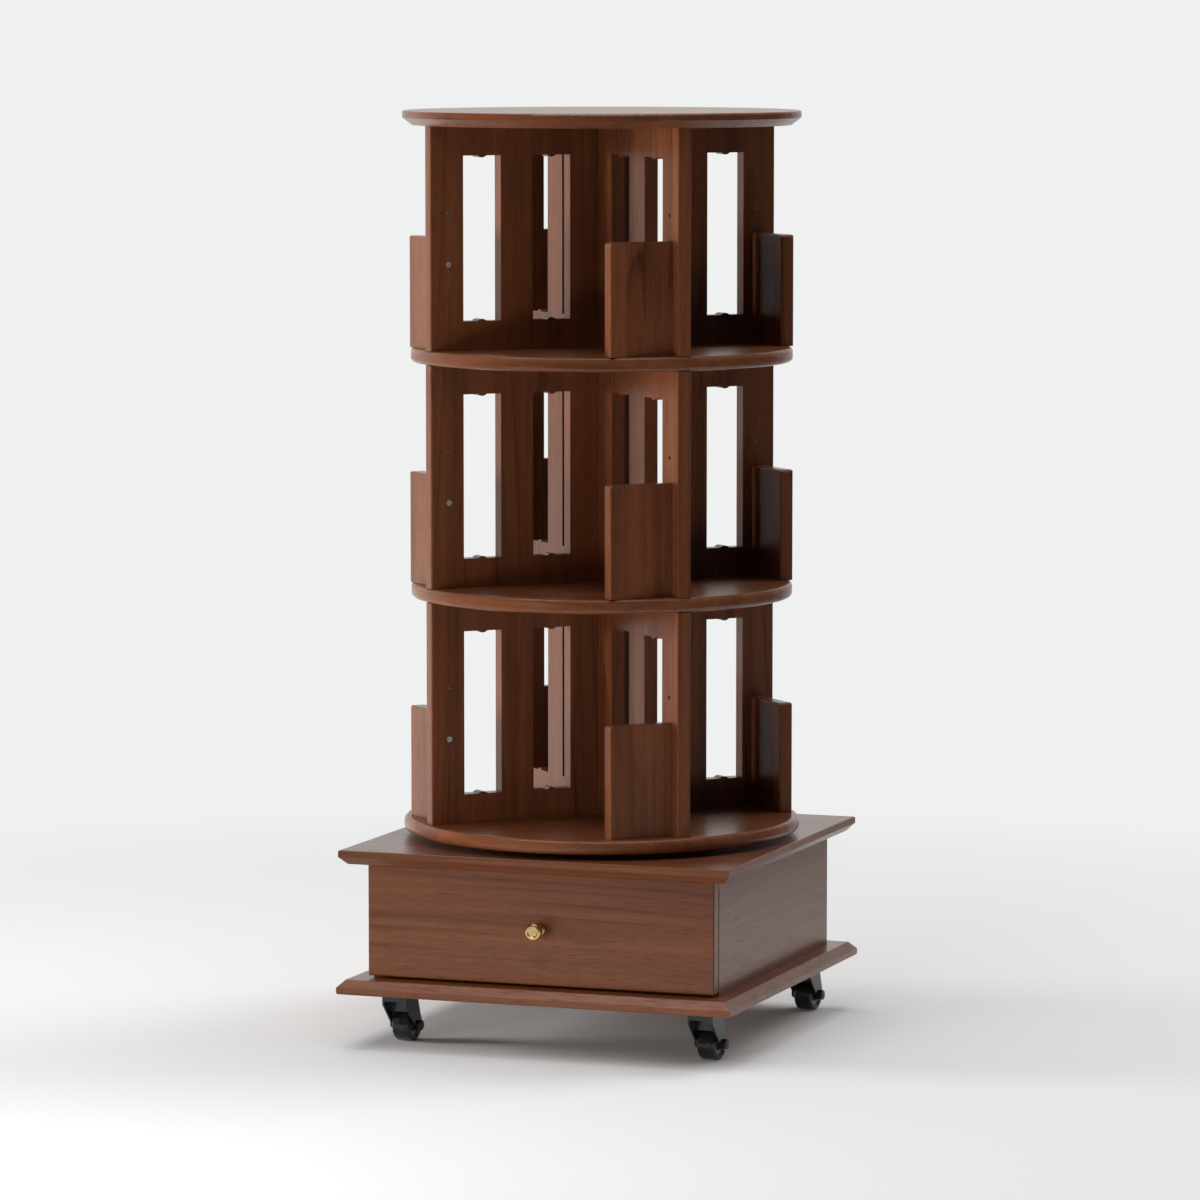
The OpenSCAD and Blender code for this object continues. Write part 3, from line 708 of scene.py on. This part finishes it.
@dataclass(frozen=True)
class Pattern:
    """Places of one repeated shape, in rows of a ring or at the corners of small squares.

    Attributes:
        count: Number in one row, or the number of all places for corners.
        reach: Distance from the turning axis, or of a square's middle along X.
        aside: Distance from the arm's middle plane, or of a square's middle along Y.
        rise: Height of the lowest row.
        tilt: Degrees that the shape is tipped about X.
        start: Degrees at which a row starts.
        rows: Number of rows.
        step: Height from row to row.
        spread: Half width of the small squares, or 0 for a ring.
    """

    count: int
    reach: float
    aside: float
    rise: float
    tilt: float
    start: float = 0.0
    rows: int = 1
    step: float = 0.0
    spread: float = 0.0


class Repeater(Graph):
    """A geometry nodes tree that repeats a prototype over patterns."""

    def __init__(self, name: str) -> None:
        """Starts the tree with the prototype as its first input.

        Args:
            name: The tree's name.
        """
        super().__init__(bpy.data.node_groups.new(name, "GeometryNodeTree"))
        self.values: dict[str, Any] = {}
        self.tree.interface.new_socket("Prototype", in_out="INPUT", socket_type="NodeSocketGeometry")
        self.tree.interface.new_socket("Geometry", in_out="OUTPUT", socket_type="NodeSocketGeometry")
        self.entry = self.node("NodeGroupInput").socket.node

    def given(self, name: str, value: Any, kind: str = "NodeSocketFloat") -> Link:
        """Adds a named input.

        Args:
            name: Its name.
            value: Its value.
            kind: Its socket type.

        Returns:
            The input as a link.
        """
        item = self.tree.interface.new_socket(name, in_out="INPUT", socket_type=kind)
        self.values[item.identifier] = value
        return Link(self, self.entry.outputs[name])

    def places(self, label: str, pattern: Pattern, seed: int) -> Link:
        """Sets the prototype at every place of a pattern.

        Args:
            label: Starts the names of the pattern's inputs.
            pattern: The places.
            seed: Picks how each shape is turned about its own axis.

        Returns:
            The instances.
        """
        count, rows = (self.given(f"{label} {name}", value, "NodeSocketInt")
                       for name, value in (("Count", pattern.count), ("Rows", pattern.rows)))
        reach, aside, rise, step, start, tilt = (self.given(f"{label} {name}", value) for name, value in (
            ("Reach", pattern.reach), ("Aside", pattern.aside), ("Rise", pattern.rise),
            ("Step", pattern.step), ("Start", math.radians(pattern.start)),
            ("Tilt", math.radians(pattern.tilt))))
        index = self.node("GeometryNodeInputIndex")
        row = self.maths("FLOOR", index / count)
        if pattern.spread:
            spread = self.given(f"{label} Spread", pattern.spread)
            side, inner_side, end, inner_end = (
                self.maths("FLOOR", index / float(2 ** k)) % 2.0 * 2.0 - 1.0 for k in range(4))
            angle = start
            spot = self.join(side * reach + inner_side * spread, end * aside + inner_end * spread, rise)
        else:
            angle = start + (index - row * count) * (ALL_ROUND / count)
            cos, sin = self.maths("COSINE", angle), self.maths("SINE", angle)
            spot = self.join(cos * reach - sin * aside, sin * reach + cos * aside, rise + row * step)
        points = self.node("GeometryNodePoints", None, {"Count": count * rows, "Position": spot})
        draw = self.given(f"{label} Seed", seed, "NodeSocketInt")
        chance = self.node("FunctionNodeRandomValue", None, {2: 0.0, 3: math.pi, "Seed": draw}, 1)
        turn = self.node("FunctionNodeRotateRotation", {"rotation_space": "LOCAL"},
                         {0: self.join(tilt, 0.0, angle), 1: self.join(0.0, 0.0, chance)})
        return self.node("GeometryNodeInstanceOnPoints", None, {
            "Points": points, "Instance": Link(self, self.entry.outputs["Prototype"]), "Rotation": turn})

    def finish(self, parts: Sequence[Link], prototype: bpy.types.Object, material: bpy.types.Material,
               name: str) -> bpy.types.Object:
        """Ends the tree, evaluates it once and keeps the result as a plain mesh.

        Args:
            parts: Instances of all patterns.
            prototype: The repeated shape, which is removed.
            material: The material that the tree sets.
            name: Name of the finished piece.

        Returns:
            The piece.
        """
        joined = self.node("GeometryNodeJoinGeometry")
        for part in parts:
            self.feed(joined.socket.node.inputs[0], part)
        real = self.node("GeometryNodeRealizeInstances", None, {0: joined})
        given = self.given("Material", material, "NodeSocketMaterial")
        dressed = self.node("GeometryNodeSetMaterial", None, {"Geometry": real, "Material": given})
        self.node("NodeGroupOutput", None, {0: dressed})
        modifier = prototype.modifiers.new("repeat", "NODES")
        modifier.node_group = self.tree
        for identifier, value in self.values.items():
            modifier[identifier] = value
        seen = prototype.evaluated_get(bpy.context.evaluated_depsgraph_get())
        mesh = bpy.data.meshes.new_from_object(seen)
        mesh.name = name
        prototype.modifiers.remove(modifier)
        bpy.data.objects.remove(prototype)
        return add_object(name, mesh)


# Camera and studio


@dataclass
class Viewpoint:
    """The photograph's camera, fitted to edges of the case.

    Attributes:
        azimuth: Degrees that the camera stands to the right of the front.
        distance: Level distance from the turning axis.
        height: Height of the lens.
        aim: Height that it looks at over the axis.
        aside: How far it stands to the right of the line through the axis.
        lens: Focal length in mm.
        sensor: Width of the sensor in mm.
        far: How far it sees.
    """

    azimuth: float = 19.837
    distance: float = 7.4508
    height: float = 1.2997
    aim: float = 0.5467
    aside: float = -0.0023
    lens: float = 178.0
    sensor: float = 36.0
    far: float = 100.0

    def build(self) -> None:
        """Adds the camera and makes it the scene's."""
        turn = math.radians(self.azimuth)
        right = Vector((math.cos(turn), math.sin(turn), 0.0))
        level = Vector((-math.sin(turn), math.cos(turn), 0.0))
        fall = math.atan2(self.height - self.aim, self.distance)
        forward = level * math.cos(fall) - Vector((0.0, 0.0, math.sin(fall)))
        spot = right * self.aside - level * self.distance + Vector((0.0, 0.0, self.height))
        data = bpy.data.cameras.new("viewpoint")
        data.lens = self.lens
        data.sensor_width = self.sensor
        data.clip_end = self.far
        camera = bpy.data.objects.new("viewpoint", data)
        facing = Matrix((right, right.cross(forward), -forward)).transposed().to_4x4()
        camera.matrix_world = Matrix.Translation(spot) @ facing
        bpy.context.scene.collection.objects.link(camera)
        bpy.context.scene.camera = camera
        LOG.info("camera at %s", tuple(round(v, 3) for v in spot))


@dataclass(frozen=True)
class Softbox:
    """One large soft lamp.

    Attributes:
        name: Its name.
        spot: Where it hangs.
        aim: What it points at.
        size: Width and height.
        power: Power in watts.
        mirrored: Whether glossy surfaces show it.
    """

    name: str
    spot: Triple
    aim: Triple
    size: tuple[float, float]
    power: float
    mirrored: bool = False

    def build(self) -> None:
        """Hangs the lamp."""
        data = bpy.data.lights.new(self.name, "AREA")
        data.shape = "RECTANGLE"
        data.size, data.size_y = self.size
        data.energy = self.power
        lamp = bpy.data.objects.new(self.name, data)
        facing = (Vector(self.aim) - Vector(self.spot)).to_track_quat("-Z", "Y").to_matrix().to_4x4()
        lamp.matrix_world = Matrix.Translation(self.spot) @ facing
        lamp.visible_glossy = self.mirrored
        bpy.context.scene.collection.objects.link(lamp)


@dataclass
class Studio:
    """Pale floor, plain backdrop and soft light.

    Attributes:
        paper: Colour of the backdrop as the camera sees it.
        floor_colour: Colour of the floor.
        ambient: Level of the light from all round.
        dark: Level of the studio's dark front in reflections.
        back: Level direction towards the bright back.
        back_edge: How far a direction has to lean that way to be a little, and fully, bright.
        fade: Distances from the axis between which the floor fades into the backdrop.
        near: Level of the bright back on the floor, close to the object.
        drop: How much of it is lost far away.
        drop_span: Distances between which it is lost.
        reach: Half width of the floor.
        lamps: The lamps.
    """

    paper: Colour = (0.863, 0.880, 0.871)
    floor_colour: Colour = (0.80, 0.80, 0.795)
    ambient: float = 0.06
    dark: float = 0.04
    back: tuple[float, float] = (-0.574, 0.819)
    back_edge: tuple[float, float] = (0.3, 0.95)
    fade: tuple[float, float] = (0.7, 2.2)
    near: float = 1.25
    drop: float = 0.55
    drop_span: tuple[float, float] = (3.0, 10.0)
    reach: float = 14.0
    lamps: tuple[Softbox, ...] = (
        Softbox("key", (-3.9, -1.05, 0.75), (0.0, 0.0, 0.45), (1.4, 1.2), 172.0),
        Softbox("front", (-0.5, -2.4, 3.5), (0.0, 0.0, 0.3), (1.8, 1.4), 27.0),
        Softbox("low", (-0.5, -1.75, 0.3), (0.0, 0.0, 0.15), (0.8, 0.3), 9.0),
        Softbox("right", (2.2, 1.9, 3.0), (0.5, 0.0, 0.0), (2.0, 2.0), 62.0),
        Softbox("top", (-0.2, 0.0, 3.5), (-0.2, 0.0, 0.0), (2.9, 2.9), 74.0, mirrored=True),
    )

    def rays(self, g: Graph, *names: str) -> Link:
        """Tells kinds of rays apart.

        Args:
            g: The tree.
            names: Outputs of the light path.

        Returns:
            1 for the named kinds and 0 for the rest.
        """
        path = g.node("ShaderNodeLightPath").socket.node
        total: Value = 0.0
        for name in names:
            total = g.maths("ADD", total, Link(g, path.outputs[name]))
        return g.maths("MINIMUM", total, 1.0)

    def seen(self, g: Graph) -> Link:
        """Returns 1 where a camera, glossy or transmitted ray looks, and 0 for the rest."""
        return self.rays(g, "Is Camera Ray", "Is Glossy Ray", "Is Transmission Ray")

    def level(self, g: Graph, x: Link, y: Link, bright: Value = 1.0) -> Link:
        """Returns 1 for the camera, and elsewhere 1 behind the object and dark before it.

        Args:
            g: The tree.
            x: The direction's part to the right.
            y: The direction's part to the back.
            bright: Level of the bright back in reflections.

        Returns:
            The paper's level.
        """
        behind = g.smooth(y * self.back[1] + x * self.back[0], *self.back_edge)
        camera = self.rays(g, "Is Camera Ray")
        return camera + (1.0 - camera) * (behind * bright + self.dark)

    def build_world(self) -> None:
        """Fills the world: backdrop for the camera, a bright back and a dark front in reflections."""
        world = bpy.data.worlds.new("studio")
        world.use_nodes = True
        world.node_tree.nodes.clear()
        g = Graph(world.node_tree)
        x, y, _ = g.split(g.node("ShaderNodeTexCoord", out="Object"))
        light = g.node("ShaderNodeBackground", None, {"Color": (1.0, 1.0, 1.0), "Strength": self.ambient})
        paper = g.node("ShaderNodeBackground", None,
                       {"Color": self.paper, "Strength": self.level(g, x, y)})
        mixed = g.node("ShaderNodeMixShader", None, {0: self.seen(g), 1: light, 2: paper})
        g.node("ShaderNodeOutputWorld", None, {"Surface": mixed})
        bpy.context.scene.world = world

    def build_floor(self) -> None:
        """Lays the floor, which fades into the backdrop away from the object."""
        g = Paint("floor_paper")
        x, y, _ = g.split(g.place)
        away = g.maths("SQRT", x * x + y * y)
        far = g.smooth(away, *self.fade)
        soft = g.node("ShaderNodeBsdfDiffuse", None, {"Color": self.floor_colour})
        bright = self.near - g.smooth(away, *self.drop_span) * self.drop
        level = self.level(g, x / away, y / away, bright)
        paper = g.node("ShaderNodeEmission", None, {"Color": self.paper, "Strength": level})
        shader = g.node("ShaderNodeMixShader", None, {0: far * self.seen(g), 1: soft, 2: paper})
        g.node("ShaderNodeOutputMaterial", None, {"Surface": shader})
        work = bmesh.new()
        bmesh.ops.create_grid(work, x_segments=8, y_segments=8, size=self.reach)
        ground = from_bmesh("studio_floor", work)
        ground.data.materials.append(g.material)

    def build(self) -> None:
        """Builds the world, the floor and the lamps."""
        self.build_world()
        self.build_floor()
        for lamp in self.lamps:
            lamp.build()
        LOG.info("studio with %d lamps", len(self.lamps))


# The bookcase


@dataclass
class Carousel:
    """Discs, crossed panels and book stops that turn together.

    Attributes:
        disc_strip: Width of the strips in the discs.
        panel_strip: Width of the strips in the panels.
        panel_figure: How lively the panels' rings are.
        stop_figure: How lively the stops' rings are.
    """

    disc_strip: float = 92 * MM
    panel_strip: float = 120 * MM
    panel_figure: float = 0.25
    stop_figure: float = 0.4

    def boards(self) -> list[Board]:
        """Returns the boards with their grain."""
        boards = [Board(name, Grain.ALONG_X, 3 + 5 * k, self.disc_strip)
                  for k, name in enumerate(("top_disc", "upper_shelf", "lower_shelf", "bottom_disc"))]
        for t, tier in enumerate(TIERS):
            for w, (way, grain) in enumerate((("a", Grain.UP_FIRST_ARM), ("b", Grain.UP_SECOND_ARM))):
                seed = 31 + 7 * t + 3 * w
                boards.append(Board(f"{tier}_panel_{way}", grain, seed, self.panel_strip, self.panel_figure))
            for k, side in enumerate(SIDES):
                grain = Grain.UP_FIRST_ARM if side in ("back", "front") else Grain.UP_SECOND_ARM
                seed = 71 + 11 * t + 3 * k
                boards.append(Board(f"{tier}_stop_{side}", grain, seed, figure=self.stop_figure))
        return boards

    def build(self) -> None:
        """Dresses every board."""
        for board in self.boards():
            dress_node(board.node, WALNUT.dress(board))
        dress_node("case_dowels", DOWEL.dress(Board("case_dowels", Grain.UP_X, 5)))
        dress_node("turntable_upper_ring", PLATED.dress("upper_ring"))


@dataclass
class DrawerBase:
    """Moulded plates, housing, runners and the still half of the turntable.

    Attributes:
        plate_strip: Width of the strips in the two plates.
        side_figure: How lively the rings of the right side are, which the camera sees.
    """

    plate_strip: float = 128 * MM
    side_figure: float = 0.7

    def boards(self) -> list[Board]:
        """Returns the walnut boards with their grain."""
        return [
            Board("base_top", Grain.ALONG_X, 113, self.plate_strip),
            Board("base_bottom", Grain.ALONG_X, 127, self.plate_strip),
            Board("base_side_left", Grain.ALONG_Y_UPRIGHT, 131),
            Board("base_side_right", Grain.ALONG_Y_UPRIGHT, 139, figure=self.side_figure),
            Board("base_back", Grain.ALONG_X_UPRIGHT, 149),
        ]

    def build(self) -> None:
        """Dresses the base."""
        for board in self.boards():
            dress_node(board.node, WALNUT.dress(board))
        for k, name in enumerate(("runner_left", "runner_right")):
            dress_node(name, BEECH.dress(Board(name, Grain.ALONG_Y_UPRIGHT, 11 + k)))
        dress_node("base_dowels", DOWEL.dress(Board("base_dowels", Grain.UP_X, 9)))
        dress_node("turntable_lower_ring", PLATED.dress("lower_ring"))


@dataclass
class Drawer:
    """Drawer front, box and knob.

    Attributes:
        front_figure: How lively the front's rings are.
    """

    front_figure: float = 0.1

    def build(self) -> None:
        """Dresses the drawer."""
        front = Board("drawer_front", Grain.ALONG_X_UPRIGHT, 157, figure=self.front_figure)
        dress_node(front.node, WALNUT.dress(front))
        box = (Board("drawer_side_left", Grain.ALONG_Y_UPRIGHT, 21),
               Board("drawer_side_right", Grain.ALONG_Y_UPRIGHT, 24),
               Board("drawer_back", Grain.ALONG_X_UPRIGHT, 27))
        for board in box:
            dress_node(board.node, BEECH.dress(board))
        dress_node("drawer_bottom", PLYWOOD.dress("drawer_bottom"))
        dress_node("knob", BRASS.dress("knob"))
        dress_node("knob_screw", ZINC.dress("knob_screw"))


@dataclass
class Caster:
    """One swivel caster.

    Attributes:
        corner: Which corner it stands at.
        pin: Place of its swivel pin.
        turn: Degrees that its axle is turned from X.
        trail: Distance of the axle behind the pin.
        hub: Height of the axle.
        shade_plate_top: Height of the upper edge of the black plate of painted shade between the fork's
            legs, under the fork's top plate.
        shade_plate_foot: Height of its lower edge, over the wheel.
        shade_plate_back: How far behind the pin it stands.
        shade_plate_thick: Its thickness.
        shade_plate_half: Half of its width.
        shade_plate_half: Half of its width.
    """

    corner: str
    pin: tuple[float, float]
    turn: float = -5.0
    trail: float = 27 * MM
    hub: float = 20.5 * MM
    # The black plate below is painted shade: it closes the gap over the wheel, where the inside of the fork
    # lies in shade.
    shade_plate_top: float = 61.45 * MM
    shade_plate_foot: float = 38.5 * MM
    shade_plate_back: float = 11 * MM
    shade_plate_thick: float = 2 * MM
    shade_plate_half: float = 14.3 * MM

    def middle(self) -> Triple:
        """Returns the wheel's middle."""
        a = math.radians(self.turn)
        return (self.pin[0] - self.trail * math.sin(a), self.pin[1] + self.trail * math.cos(a), self.hub)

    def shade_plate(self, name: str) -> bpy.types.Object:
        """Makes a black plate of painted shade that closes the fork between its legs, over the wheel.

        Args:
            name: Name of the caster.

        Returns:
            The plate, flat, standing in for the shade inside the fork.
        """
        work = bmesh.new()
        size = Vector((2.0 * self.shade_plate_half, self.shade_plate_thick, self.shade_plate_top - self.shade_plate_foot))
        middle = Vector((0.0, self.shade_plate_back + self.shade_plate_thick / 2.0, (self.shade_plate_top + self.shade_plate_foot) / 2.0))
        spin = Matrix.Translation((*self.pin, 0.0)) @ Matrix.Rotation(math.radians(self.turn), 4, "Z")
        bmesh.ops.create_cube(work, matrix=spin @ Matrix.Translation(middle) @ Matrix.Diagonal((*size, 1.0)))
        return from_bmesh(f"{name}_web", work)

    def build(self) -> None:
        """Dresses the caster and adds its black plate of painted shade over the wheel."""
        name = f"caster_{self.corner}"
        dress_node(f"{name}_plate", ENAMEL.dress(f"{name}_plate"))
        dress_node(f"{name}_fork", ENAMEL.dress(f"{name}_fork"))
        # Black plate of painted shade between the fork's legs.
        dress_piece(self.shade_plate(name), ENAMEL.dress(f"{name}_web"), f"{name}_swivel_body", ENAMEL.slot)
        dress_node(f"{name}_axle", BOLT.dress(f"{name}_axle"))
        dress_node(f"{name}_wheel", WHEEL.dress(f"{name}_wheel", self.middle(), math.radians(self.turn)))


@dataclass
class Fasteners:
    """Countersunk screws with a cross recess, repeated by geometry nodes, and the balls.

    Attributes:
        head: Radius of a screw's head.
        shank: Radius of its shank.
        rim: Height of the head's rim.
        slot: Half width of the cross recess's arms.
        slot_reach: Reach of the recess's arms.
        slot_deep: Depth of the recess.
        foot: Size of the recess's foot against its mouth, across and along an arm.
        steps: Steps round a screw, two for each of the recess's twelve corners.
        long: Length of the stop screws.
        short: Length of the others.
        stop_reach: Distance of the stop screws from the turning axis.
        stop_aside: Distance of their heads from the arm's middle plane.
        first_row: Height of the lowest stop screws.
        tier: Height from tier to tier.
        upper_ring: Radius and height of the heads in the turntable's upper ring.
        lower_ring: Radius and height of the heads in its lower ring.
        ring_count: Screws in each ring.
        caster_head: Height of the heads under the caster plates.
        caster_spread: Half distance between the screws of one plate.
        first_draw: Seed of the first pattern in each set.
    """

    head: float = 3.45 * MM
    shank: float = 1.95 * MM
    rim: float = 0.25 * MM
    slot: float = 0.5 * MM
    slot_reach: float = 2.1 * MM
    slot_deep: float = 1.3 * MM
    foot: tuple[float, float] = (0.6, 0.45)
    steps: int = 24
    long: float = 40 * MM
    short: float = 14 * MM
    stop_reach: float = 214 * MM
    stop_aside: float = 9 * MM
    first_row: float = 382 * MM
    tier: float = 296 * MM
    upper_ring: tuple[float, float] = (126.6 * MM, 250.8 * MM)
    lower_ring: tuple[float, float] = (142.0 * MM, 256.2 * MM)
    ring_count: int = 8
    caster_head: float = 66.5 * MM
    caster_spread: float = 15.5 * MM
    first_draw: int = 5

    def cross(self, work: bmesh.types.BMesh, width: float, reach: float,
              height: float) -> list[bmesh.types.BMVert]:
        """Adds the twelve corners of a cross, starting at its right arm.

        Args:
            work: The bmesh that gets them.
            width: Half width of an arm.
            reach: Reach of an arm.
            height: Height of the cross.

        Returns:
            The corners in order.
        """
        corners = []
        for k in range(4):
            turn = Matrix.Rotation(math.radians(90 * k), 3, "Z")
            for x, y in ((reach, -width), (reach, width), (width, width)):
                corners.append(work.verts.new(turn @ Vector((x, y, height))))
        return corners

    def screw(self, length: float) -> bpy.types.Object:
        """Makes one screw with its head's face on the plane z = 0.

        Args:
            length: Its length.

        Returns:
            The screw, a few dozen faces.
        """
        work = bmesh.new()
        angles = [ALL_ROUND * (k - 1) / self.steps for k in range(self.steps)]
        neck = -self.rim - self.head + self.shank
        levels = ((self.head, 0.0), (self.head, -self.rim), (self.shank, neck),
                  (self.shank, 2.0 * self.shank - length))
        rings = [[work.verts.new((r * math.cos(a), r * math.sin(a), z)) for a in angles] for r, z in levels]
        tip = work.verts.new((0.0, 0.0, -length))
        for k in range(self.steps):
            n = (k + 1) % self.steps
            for upper, lower in zip(rings, rings[1:]):
                work.faces.new((upper[k], upper[n], lower[n], lower[k]))
            work.faces.new((rings[-1][k], rings[-1][n], tip))
        mouth = self.cross(work, self.slot, self.slot_reach, 0.0)
        floor = self.cross(work, self.slot * self.foot[0], self.slot_reach * self.foot[1], -self.slot_deep)
        face = rings[0]
        for k in range(len(mouth)):
            n = (k + 1) % len(mouth)
            work.faces.new((face[2 * k], face[2 * k + 1], face[2 * n], mouth[n], mouth[k]))
            work.faces.new((mouth[k], mouth[n], floor[n], floor[k]))
        work.faces.new(floor)
        return from_bmesh("screw", work)

    def repeat(self, node: str, length: float, body: str, patterns: dict[str, Pattern]) -> None:
        """Repeats a screw over patterns and lets the set stand for a node.

        Args:
            node: Node that it stands for.
            length: Length of the screws.
            body: Body that they ride on.
            patterns: Their places, by label.
        """
        name = f"{node}_set"
        tree = Repeater(name)
        parts = [tree.places(label, pattern, self.first_draw + k)
                 for k, (label, pattern) in enumerate(patterns.items())]
        material = ZINC.dress(name)
        piece = tree.finish(parts, self.screw(length), material, name)
        dress_piece(piece, material, body, ZINC.slot, node)

    def ring(self, radius: float, height: float, tilt: float) -> Pattern:
        """Returns the places in one ring of the turntable."""
        return Pattern(self.ring_count, radius, 0.0, height, tilt)

    def build(self) -> None:
        """Sets the screws and dresses the balls."""
        stops = Pattern(len(SIDES), self.stop_reach, self.stop_aside, self.first_row, -90.0, 45.0,
                        len(TIERS), self.tier)
        casters = Pattern(4 * len(CORNERS), CASTER_X, CASTER_Y, self.caster_head, 180.0,
                          spread=self.caster_spread)
        self.repeat("stop_screws", self.long, "carousel", {"Stops": stops})
        self.repeat("disc_screws", self.short, "carousel", {"Ring": self.ring(*self.upper_ring, 180.0)})
        self.repeat("base_screws", self.short, "base",
                    {"Ring": self.ring(*self.lower_ring, 0.0), "Casters": casters})
        dress_node("turntable_balls", BALL.dress("turntable_balls"))


def main() -> None:
    """Builds the scene and reports each piece."""
    logging.basicConfig(level=logging.INFO, format="%(message)s")
    bpy.context.scene.view_settings.view_transform = "Standard"
    Viewpoint().build()
    Studio().build()
    Carousel().build()
    DrawerBase().build()
    Drawer().build()
    for corner in CORNERS:
        end, side = corner.split("_")
        pin = (-CASTER_X if side == "left" else CASTER_X, -CASTER_Y if end == "front" else CASTER_Y)
        Caster(corner, pin).build()
    Fasteners().build()


if __name__ == "__main__":
    main()
